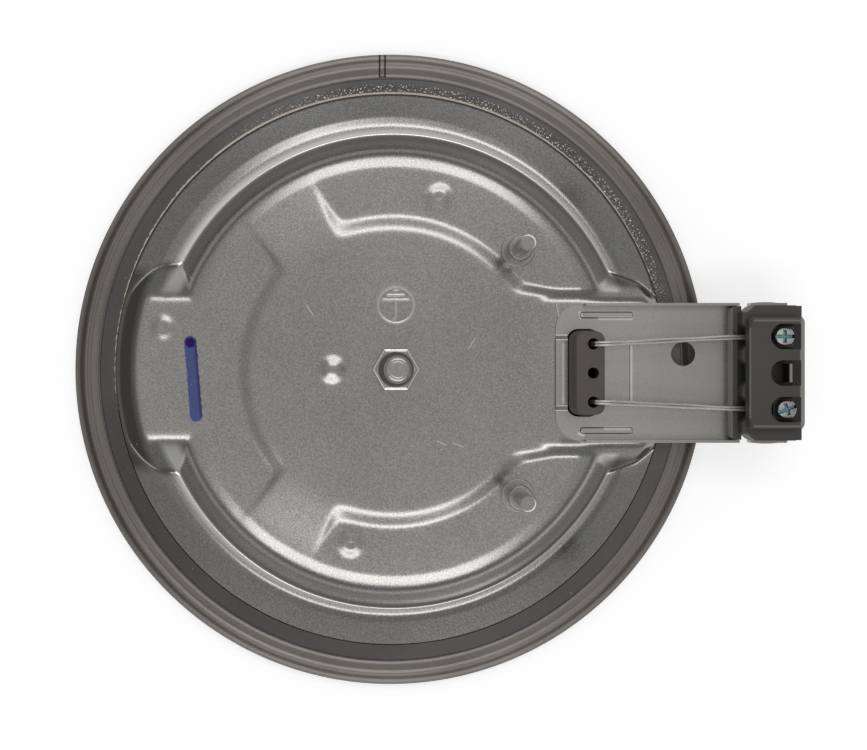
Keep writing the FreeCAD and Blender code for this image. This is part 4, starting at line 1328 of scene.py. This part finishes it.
    def left_lug(self, x: Array, y: Array, r: Array) -> Array:
        """Work out the height of the lug on the far side from the terminals.

        Args:
            x, y: plan positions.
            r: their distances from the centre.

        Returns:
            The top, less a side slope that reaches the round part after the run, less
            an end slope along the radius.
        """
        foot = self.disc(np.maximum(r, self.valley_r))
        side = soft_ramp(np.abs(y - self.lug_y) - self.lug_half, self.lug_round)
        end = soft_ramp(r - self.lug_end_r, self.lug_end_round)
        return self.pad_z - (self.pad_z - foot) / self.lug_run * side - self.lug_end_slope * end

    def seat(self, x: Array, y: Array, r: Array) -> Array:
        """Work out the height of the platform and lug under the bracket.

        Args:
            x, y: plan positions.
            r: their distances from the centre.

        Returns:
            The top, less a side slope, gentle beside the pads and steep past the
            field's edge, less an end slope along the radius.
        """
        gentle, steep = self.seat_slopes
        slope = gentle + (steep - gentle) * soft_step(x, self.seat_slope_x, 0.1)
        side = slope * soft_ramp(np.abs(y - AXIS_Y) - self.seat_half, self.seat_round)
        end = self.seat_end_slope * soft_ramp(r - self.seat_end_r, self.seat_end_round)
        return self.seat_z - side - end

    def height(self, x: Array, y: Array) -> Array:
        """Work out the height of the sheet's upper side.

        Args:
            x, y: plan positions.

        Returns:
            The round part and what is raised on it; where the lugs lie, the higher of
            that and the lug, with a rounded crease; then the bosses and the sign.
        """
        r = self.ring_radius(x, y)
        trim = 1 - soft_step(r, self.trim_r, 0.1)
        base = self.disc(r) + self.middle_rise * self.raised(x, y, r) * trim
        thin, wide = self.crease
        crease = thin + (wide - thin) * soft_step(r, self.crease_r, 0.1)
        base = np.where(x < self.lug_x, soft_max(base, self.left_lug(x, y, r), crease), base)
        front = (self.seat_z - self.pad_z - self.middle_rise) * (1 - soft_step(x, self.seat_x, 0.2))
        seat = soft_max(base, self.seat(x, y, r) - front, self.seat_crease + crease)
        first, aside = self.seat_reach
        base = np.where((x > first) & (np.abs(y - AXIS_Y) < aside), seat, base)
        for boss in self.bosses:
            base = base + boss.rise(x, y)
        return base + self.mark_h * self.mark(x - self.mark_place[0], y - self.mark_place[1])

    def mark(self, u: Array, v: Array) -> Array:
        """Work out the pressed earth sign.

        A ring round three bars of falling length and a stem that hooks at its end.

        Args:
            u, v: plan positions from the sign's middle.

        Returns:
            0 on the sheet to 1 on the ridges: a bell of the distance from the nearest
            middle line, plus a low bell of the distance from a circle round the ring.
        """
        radius = np.hypot(u, v)
        away = [np.abs(radius - self.mark_ring_r)]
        for x0, y0, x1, y1 in self.mark_lines:
            length = math.hypot(x1 - x0, y1 - y0)
            along = np.clip(((u - x0) * (x1 - x0) + (v - y0) * (y1 - y0)) / length**2, 0.0, 1.0)
            away.append(np.hypot(u - x0 - along * (x1 - x0), v - y0 - along * (y1 - y0)))
        foot_r, foot_half, foot_share = self.mark_foot
        ridges = np.exp(-(np.minimum.reduce(away) / self.mark_half) ** 2)
        return ridges + foot_share * np.exp(-((radius - foot_r) / foot_half) ** 2)

    def surface(self, zones: tuple[tuple[float, float, int], ...], turn: Array) -> Array:
        """Lay a polar grid over the sheet's upper side.

        Args:
            zones: for each zone, first and last radius and number of rows.
            turn: angles in radians.

        Returns:
            Points over radius by angle, about the pressing's own centre, ending at the edge.
        """
        rows = [np.linspace(first, last, count, endpoint=False) for first, last, count in zones]
        radius, angle = np.meshgrid(np.concatenate([*rows, [self.edge_r]]), turn, indexing="ij")
        share = self.share_of_offset(radius)
        x = radius * np.cos(angle) + share * self.offset[0]
        y = radius * np.sin(angle) + share * self.offset[1]
        return np.stack([x, y, self.height(x, y)], axis=-1)

    def build(self) -> bpy.types.Object:
        """Build the sheet.

        Returns:
            The piece: upper side, coarser underside and edge, with the folds marked.
        """
        turn = around(self.columns)
        down = (0.0, 0.0, self.sheet)
        upper = self.surface(self.upper_rows, turn)
        lower = self.surface(self.lower_rows, turn[::2]) - down
        edge = np.stack([upper[-1], upper[-1] - down])
        piece = mesh_object("cover_sheet", [
            Patch(upper, closed_columns=True, flip=True), Patch(lower, closed_columns=True),
            Patch(edge, closed_columns=True, flip=True)], 60.0)
        self.mark_fold(piece.data)
        return piece

    def mark_fold(self, mesh: bpy.types.Mesh) -> None:
        """Write the attribute "fold", which marks painted shade in the creases beside the lugs.

        Its value is a bell of the height between a lug and the round part, outside
        the valley.

        Args:
            mesh: the sheet's mesh.
        """
        place = np.empty(len(mesh.vertices) * 3, dtype=np.float32)
        mesh.vertices.foreach_get("co", place)
        x, y = place.reshape(-1, 3)[:, 0] / MM, place.reshape(-1, 3)[:, 1] / MM
        r = self.ring_radius(x, y)
        lug = np.where(x < 0, self.left_lug(x, y, r), self.seat(x, y, r))
        near = np.exp(-((lug - self.disc(r)) / self.fold_half) ** 2)
        near = near * (np.abs(x) > self.fold_x) * (r > self.fold_r)
        mesh.attributes.new("fold", "FLOAT", "POINT").data.foreach_set("value", near.astype(np.float32))

    def dress(self) -> None:
        """Build the cover and give it its finish."""
        settle(self.build(), Slot.COVER, COVER_SHEET, "base_cover")


@dataclass
class SpillRing:
    """Ring pressed from strip: collar, groove, step, band and standing edge.

    Attributes:
        profile: radius and height along the strip's middle line.
        profile_rows: rows of the mesh along it.
        strip: thickness.
        columns, joint_columns: columns round the ring, and more of them at the joint.
        joint_x: the two lines of the lap joint.
        joint_r, joint_half: mean radius there, and half angle of the finer columns.
        lap: how far the strip stands up between the lines.
        lap_run: plan width of the lap's steps.
    """

    profile: tuple[Place, ...] = (
        (90.9, 8.2), (90.9, 4.4), (91.1, 3.95), (91.6, 3.72), (93.3, 3.7), (93.8, 3.76),
        (94.2, 3.87), (94.6, 3.87), (95.3, 3.81), (95.6, 3.86), (96.0, 4.0), (97.4, 4.59),
        (97.9, 4.74), (98.2, 4.8), (98.35, 4.74))
    profile_rows: int = 72
    strip: float = 0.5
    columns: int = 560
    joint_columns: int = 60
    joint_x: Span = (-3.3, -1.6)
    joint_r: float = 95.0
    joint_half: float = 0.03
    lap: float = 0.12
    lap_run: float = 0.1

    def sheet(self, offset: float) -> tuple[Array, Array]:
        """Work out one side of the strip's section.

        Args:
            offset: distance from the middle line.

        Returns:
            Radii and heights of the smooth middle line, moved along its normal.
        """
        curve = hermite(np.array(self.profile), self.profile_rows)
        heading = unit(np.gradient(curve, axis=0))
        moved = curve + np.stack([-heading[:, 1], heading[:, 0]], axis=1) * offset
        return moved[:, 0], moved[:, 1]

    def raised(self, radii: Array, heights: Array, turn: Array) -> Array:
        """Turn the upper side, lifted by the lap between the two lines of the joint.

        Args:
            radii, heights: the upper side's section.
            turn: angles in radians.

        Returns:
            Points over section by angle. The lift is a soft step up at the first line,
            times one less a soft step at the last.
        """
        points = revolve(radii, heights, turn)
        x, y, _ = np.moveaxis(points, -1, 0)
        up, down = (soft_step(x, (line, line + self.lap_run), 0.3) for line in self.joint_x)
        points[..., 2] += np.where(y > 0, up * (1 - down) * self.lap, 0.0)
        return points

    def build(self) -> bpy.types.Object:
        """Build the strip.

        Returns:
            The piece: two sides and two edges, with finer columns at the joint.
        """
        middle = math.radians(90) - np.mean(self.joint_x) / self.joint_r
        near = middle + np.linspace(-self.joint_half, self.joint_half, self.joint_columns)
        turn = np.unique(np.concatenate([around(self.columns), near]))
        upper = self.raised(*self.sheet(self.strip / 2), turn)
        lower = revolve(*self.sheet(-self.strip / 2), turn)
        edges = np.stack([upper[0], lower[0]]), np.stack([lower[-1], upper[-1]])
        patches = [Patch(upper, closed_columns=True, flip=True)]
        patches += [Patch(part, closed_columns=True) for part in (lower, *edges)]
        return mesh_object("spill_ring_strip", patches)

    def dress(self) -> None:
        """Build the ring and give it its finish."""
        settle(self.build(), Slot.RING, RING_SHEET, "spill_ring")


@dataclass
class FixingStud:
    """M8 stud with its thread cut, standing in the nut.

    Attributes:
        x: place of its axis on the X axis.
        radius, pitch, thread_depth: the thread.
        flank: shares of the triangle wave between which a flank rises.
        foot_z, top_z: lower and upper end.
        run_out: height over which the thread fades out below the end.
        end: the end's profile, as shares of the radius and drops from the top.
        columns, row_step: columns of the mesh and height of a row.
    """

    x: float = 1.4
    radius: float = 4.0
    pitch: float = 1.25
    thread_depth: float = 0.68
    flank: Span = (0.1, 0.9)
    foot_z: float = 20.4
    top_z: float = 49.4
    run_out: float = 0.5
    end: tuple[Place, ...] = (
        (1.0, 0.6), (0.97, 0.34), (0.93, 0.24), (0.74, 0.1), (0.66, 0.03),
        (0.62, 0.07), (0.58, 0.0), (0.5, 0.0), (0.25, 0.02), (0.0, 0.02))
    columns: int = 48
    row_step: float = 0.125

    def build(self) -> bpy.types.Object:
        """Build the thread and the end.

        Returns:
            The piece. The thread's radius is the outer radius less its depth times a
            rounded triangle wave of height over pitch less the turn's share of a circle.
        """
        turn = around(self.columns)
        shares, drops = np.array(self.end).T
        last_z = self.top_z - drops[0]
        z = np.arange(self.foot_z, last_z + 0.01, self.row_step)
        wave = np.abs(((z[:, None] / self.pitch - turn / (2 * np.pi)) % 1.0) * 2 - 1)
        depth = self.thread_depth * soft_step(wave, self.flank, 0.06)
        depth = depth * np.clip((last_z - z) / self.run_out, 0.0, 1.0)[:, None]
        centre = (self.x, 0.0)
        side = revolve(self.radius - depth, z, turn, centre)
        end = revolve(shares * self.radius, self.top_z - drops, turn, centre)
        return mesh_object("threaded_stud", [Patch(part, closed_columns=True) for part in (side, end)])

    def dress(self) -> None:
        """Build the stud and give it its finish."""
        settle(self.build(), Slot.PLATED, ZINC, "central_stud")


@dataclass
class FixingNut:
    """Hexagon nut whose border falls to its flats round a raised cone.

    Attributes:
        x: place of its axis on the X axis.
        flats: width over the flats.
        foot_z, top_z: lower and upper face.
        border, border_fall: width of the border and its fall to the flats.
        bevel: width and height of the bevel below the border.
        cone_r, cone_h: outer and inner radius and height of the cone.
        bore_r, bore_round: the bore and its rounded rim.
        columns: columns of the mesh.
    """

    x: float = 1.4
    flats: float = 12.1
    foot_z: float = 20.2
    top_z: float = 26.7
    border: float = 0.8
    border_fall: float = 0.17
    bevel: Place = (0.08, 0.2)
    cone_r: Span = (5.1, 4.25)
    cone_h: float = 0.42
    bore_r: float = 3.95
    bore_round: float = 0.1
    columns: int = 180

    def hexagon(self, half: float, turn: Array) -> Array:
        """Return the hexagon's radius at each angle: half its width over the cosine to the nearest flat."""
        return half / np.cos(turn % (math.pi / 3) - math.pi / 6)

    def build(self) -> bpy.types.Object:
        """Build the nut.

        Returns:
            The piece: sides, the border that falls outward, the cone, and the bore, as
            rings of a radius for each angle and a height.
        """
        turn = around(self.columns)
        half, border = self.flats / 2, self.top_z - self.cone_h
        shoulder = border - self.border_fall
        first, last = self.cone_r
        inner, bevel_h = self.bevel
        rings = [
            (self.hexagon(half, turn), self.foot_z), (self.hexagon(half, turn), shoulder - bevel_h),
            (self.hexagon(half - inner, turn), shoulder),
            (np.maximum(self.hexagon(half - self.border, turn), first + 0.02), border),
            (first, border), (last, self.top_z), (self.bore_r + self.bore_round, self.top_z),
            (self.bore_r, self.top_z - self.bore_round), (self.bore_r, self.foot_z)]
        radii = np.array([np.broadcast_to(radius, turn.shape) for radius, _ in rings])
        points = revolve(radii, np.array([z for _, z in rings]), turn, (self.x, 0.0))
        return mesh_object("hexagon_nut", [Patch(points, closed_columns=True)], 8.0)

    def dress(self) -> None:
        """Build the nut and give it its finish."""
        settle(self.build(), Slot.PLATED, NUT_ZINC, "fixing_nut")


@dataclass
class BlockEnd:
    """Low floor of the terminal block that reaches past its chambers over the tongue.

    Attributes:
        x, z: limits along these axes.
        half_y: half width.
    """

    x: Span = (119.2, 121.9)
    half_y: float = 15.6
    z: Span = (21.5, 27.0)

    def dress(self) -> None:
        """Build the floor and give it the block's finish."""
        wide = (AXIS_Y - self.half_y, AXIS_Y + self.half_y)
        settle(mesh_object("block_end_floor", box_patches(self.x, wide, self.z)), Slot.PHENOLIC, PHENOLIC)


@dataclass
class WingEnds:
    """Ends of the terminal block's wings, past its chambers.

    Attributes:
        x, z: limits along these axes.
        across: near and far side, from the middle line.
    """

    x: Span = (119.2, 120.5)
    across: Span = (16.1, 19.75)
    z: Span = (21.5, 32.1)

    def dress(self) -> None:
        """Build both ends and give them the block's finish."""
        near, far = self.across
        patches = box_patches(self.x, (AXIS_Y + near, AXIS_Y + far), self.z)
        patches += box_patches(self.x, (AXIS_Y - far, AXIS_Y - near), self.z)
        settle(mesh_object("block_wing_ends", patches), Slot.PHENOLIC, PHENOLIC)


@dataclass
class BracketStrip:
    """Strip at the bracket's inner end, raised with soft sides.

    Attributes:
        x: its limits along the bracket.
        flat_z, height: height of the flat sheet and of the strip over it.
        half, run: half width of its top and plan width of its sides.
        rows: rows of the mesh across the bracket.
    """

    x: Span = (49.62, 53.15)
    flat_z: float = 21.41
    height: float = 0.66
    half: float = 9.8
    run: float = 1.7
    rows: int = 161

    def build(self) -> bpy.types.Object:
        """Build the strip.

        Returns:
            The piece. Its height over the sheet is a quarter turn's cosine, squared, of
            the distance past its top over the run.
        """
        reach = self.half + self.run
        x, v = np.meshgrid(self.x, np.linspace(-reach, reach, self.rows))
        share = np.clip((np.abs(v) - self.half) / self.run, 0.0, 1.0)
        z = self.flat_z + self.height * np.cos(math.pi / 2 * share) ** 2
        return mesh_object("bracket_end_strip", [Patch(np.stack([x, AXIS_Y + v, z], axis=-1))])

    def dress(self) -> None:
        """Build the strip and give it the bracket's finish."""
        settle(self.build(), Slot.BRACKET, BRACKET_SHEET)


@dataclass
class LeadWires:
    """Two nickel leads, each one wire laid double, from the bead to the contacts.

    Attributes:
        strand_r: radius of a strand.
        hole_x, hole_pitch: place of the bead's outer holes and their distance from the middle.
        foot_z, bend_z: height of the leads' start and of their bend.
        middle_x: place of their middle along the bracket.
        end: place along the bracket and height of their end.
        closeness: the strands' distance from the middle line, over their radius.
        spread: how far they part over the last tenth.
        sway: how far they wander.
        rows, columns: rows and columns of a strand's mesh.
    """

    strand_r: float = 0.375
    hole_x: float = 58.8
    hole_pitch: float = 8.5
    foot_z: float = 15.0
    bend_z: float = 36.2
    middle_x: float = 85.0
    end: Place = (109.9, 28.2)
    closeness: float = 0.98
    spread: float = 0.12
    sway: float = 0.05
    rows: int = 150
    columns: int = 16

    def path(self, side: int) -> Array:
        """Work out the middle line of a lead.

        Args:
            side: 1 for the lead on the upper side, -1 for the other.

        Returns:
            Places along a smooth curve through eight points: up out of the bead, over
            the bend, and down outward to the contact.
        """
        y0, y1 = AXIS_Y + side * self.hole_pitch, AXIS_Y + side * CHAMBER_PITCH
        end_x, end_z = self.end
        return hermite(np.array([
            (self.hole_x, y0, self.foot_z), (self.hole_x + 0.1, y0, self.bend_z - 2.6),
            (self.hole_x + 0.9, y0, self.bend_z - 0.7), (self.hole_x + 3.0, y0 + 0.05 * side, self.bend_z),
            (self.hole_x + 9.0, y0 + 0.3 * side, self.bend_z - 0.9),
            (self.middle_x, (y0 + y1) / 2 + 0.1 * side, self.bend_z - 4.2),
            (end_x - 6.0, y1 - 0.1 * side, end_z + 1.3), (end_x, y1, end_z)]), self.rows)

    def strand(self, side: int, hand: int) -> Patch:
        """Build one strand.

        Args:
            side: 1 for the lead on the upper side, -1 for the other.
            hand: 1 for the strand on the upper side of the lead, -1 for the other.

        Returns:
            A round section carried along the path, beside it by a little under its
            radius, with a slow sine wave across it and another in height.
        """
        middle = self.path(side)
        share = np.linspace(0, 1, len(middle))
        gap = self.strand_r * self.closeness + self.spread * np.clip((share - 0.9) / 0.1, 0.0, 1.0)
        gap = gap + self.sway * np.sin(share * 23 + side)
        rise = self.sway * np.sin(share * 17)
        middle = middle + hand * np.stack([np.zeros_like(share), gap, rise], axis=1)
        heading = unit(np.gradient(middle, axis=0))
        across = np.tile([0.0, 1.0, 0.0], (len(middle), 1))
        across = unit(across - (across * heading).sum(axis=1)[:, None] * heading)
        up = np.cross(heading, across)
        turn = around(self.columns)[None, :, None]
        ring = across[:, None] * np.cos(turn) + up[:, None] * np.sin(turn)
        return Patch(middle[:, None] + self.strand_r * ring, closed_columns=True, flip=True)

    def dress(self) -> None:
        """Build both leads and give them their finish."""
        for number, side in enumerate((1, -1), 1):
            piece = mesh_object(f"nickel_lead_{number}", [self.strand(side, 1), self.strand(side, -1)])
            settle(piece, Slot.NICKEL, NICKEL, f"lead_wire_{number}")


@dataclass
class TerminalScrew:
    """Cheese-head screw with a slot crossed by a shorter recess.

    Attributes:
        number: number of the CAD node.
        side: 1 on the upper side of the block, -1 on the other.
        slot_deg: direction of the slot.
        shift: its offset from the chamber's middle.
        x: the chamber's middle along the block.
        head_r, head_z: radius, and lower and upper height, of the head.
        rim: width and height of the head's rounded rim.
        crown: how far the face falls to its rim.
        slot_half, slot_depth: half width and depth of slot and recess.
        slot_wall: plan width of their walls.
        recess: half length of the recess, and where its ends have risen to the face.
        shank_r, shank_h: the shank below the head.
        columns, rows: columns and rows of the face's mesh.
    """

    number: int
    side: int
    slot_deg: float
    shift: Place
    x: float = 116.1
    head_r: float = 2.85
    head_z: Span = (29.0, 31.6)
    rim: Place = (0.4, 0.3)
    crown: float = 0.22
    slot_half: float = 0.36
    slot_depth: float = 1.0
    slot_wall: float = 0.12
    recess: Span = (1.55, 1.85)
    shank_r: float = 1.5
    shank_h: float = 4.2
    columns: int = 120
    rows: int = 44

    def face(self, turn: Array) -> tuple[Array, Array]:
        """Work out the face of the head.

        Args:
            turn: angles in radians.

        Returns:
            Radii from the rim inward, and heights over radius by angle: the head's
            height, less a rounded rim and a crown, less the deeper of slot and recess,
            each a soft step of the distance from its middle line.
        """
        radii = np.linspace(0, 1, self.rows)[::-1] ** 0.9 * (self.head_r - 0.02)
        radius, angle = np.meshgrid(radii, turn - math.radians(self.slot_deg), indexing="ij")
        along, across = np.abs(radius * np.cos(angle)), np.abs(radius * np.sin(angle))
        wall = (self.slot_half, self.slot_half + self.slot_wall)
        slot = 1 - soft_step(across, wall, 0.1)
        recess = (1 - soft_step(along, wall, 0.1)) * (1 - soft_step(across, self.recess, 0.1))
        wide, high = self.rim
        rim = high * np.clip((radius - self.head_r + wide) / wide, 0.0, 1.0) ** 2
        crown = self.crown * (radius / self.head_r) ** 2
        return radii, self.head_z[1] - rim - crown - self.slot_depth * np.maximum(slot, recess)

    def build(self) -> bpy.types.Object:
        """Build the screw.

        Returns:
            The piece: shank and head, the join up to the face, and the face.
        """
        turn = around(self.columns)
        centre = (self.x + self.shift[0], AXIS_Y + self.side * CHAMBER_PITCH + self.shift[1])
        low, high = self.head_z
        side_r = np.array([self.shank_r, self.shank_r, self.head_r - 0.1, self.head_r, self.head_r])
        side_z = np.array([low - self.shank_h, low, low, low + 0.1, high - 0.45])
        side = revolve(side_r, side_z, turn, centre)
        face = revolve(*self.face(turn), turn, centre)
        join = np.stack([side[-1], face[0]])
        closed = [Patch(part, closed_columns=True) for part in (side, join, face)]
        return mesh_object(f"crosshead_screw_{self.number}", closed)

    def dress(self) -> None:
        """Build the screw and give it its finish."""
        settle(self.build(), Slot.PLATED, SCREW_ZINC, f"terminal_screw_{self.number}")


def dress_nodes() -> None:
    """Give the CAD nodes their finishes, also those that finer pieces stand for."""
    finishes = {
        "cast_iron_plate": CAST_SKIN, "spill_ring": RING_SHEET, "heating_coil": COIL_WIRE,
        "embedding_compound": COMPOUND, "central_stud": ZINC, "fixing_nut": ZINC,
        "ceramic_bead": STEATITE, "terminal_bracket": BRACKET_SHEET,
        "terminal_block": PHENOLIC, "middle_tab": BLADE}
    pairs = {"spacer_pin": TURNED, "lead_wire": NICKEL, "contact_plate": BRASS,
             "clamp_washer": BRASS, "terminal_screw": ZINC}
    for number in (1, 2):
        finishes.update({f"{name}_{number}": finish for name, finish in pairs.items()})
    for name, finish in finishes.items():
        dress(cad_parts[name], finish)


def main() -> None:
    """Build the stage and every piece."""
    logging.basicConfig(level=logging.INFO, format="%(name)s: %(message)s")
    bpy.context.scene.view_settings.view_transform = "Standard"
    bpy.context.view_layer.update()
    Studio().build()
    dress_nodes()
    for part in (BaseCover(), SpillRing(), FixingStud(), FixingNut(), BlockEnd(), WingEnds(),
                 BracketStrip(), LeadWires(), TerminalScrew(1, 1, 0.0, (-0.3, 0.1)),
                 TerminalScrew(2, -1, 20.0, (0.35, -0.1))):
        part.dress()


if __name__ == "__main__":
    main()
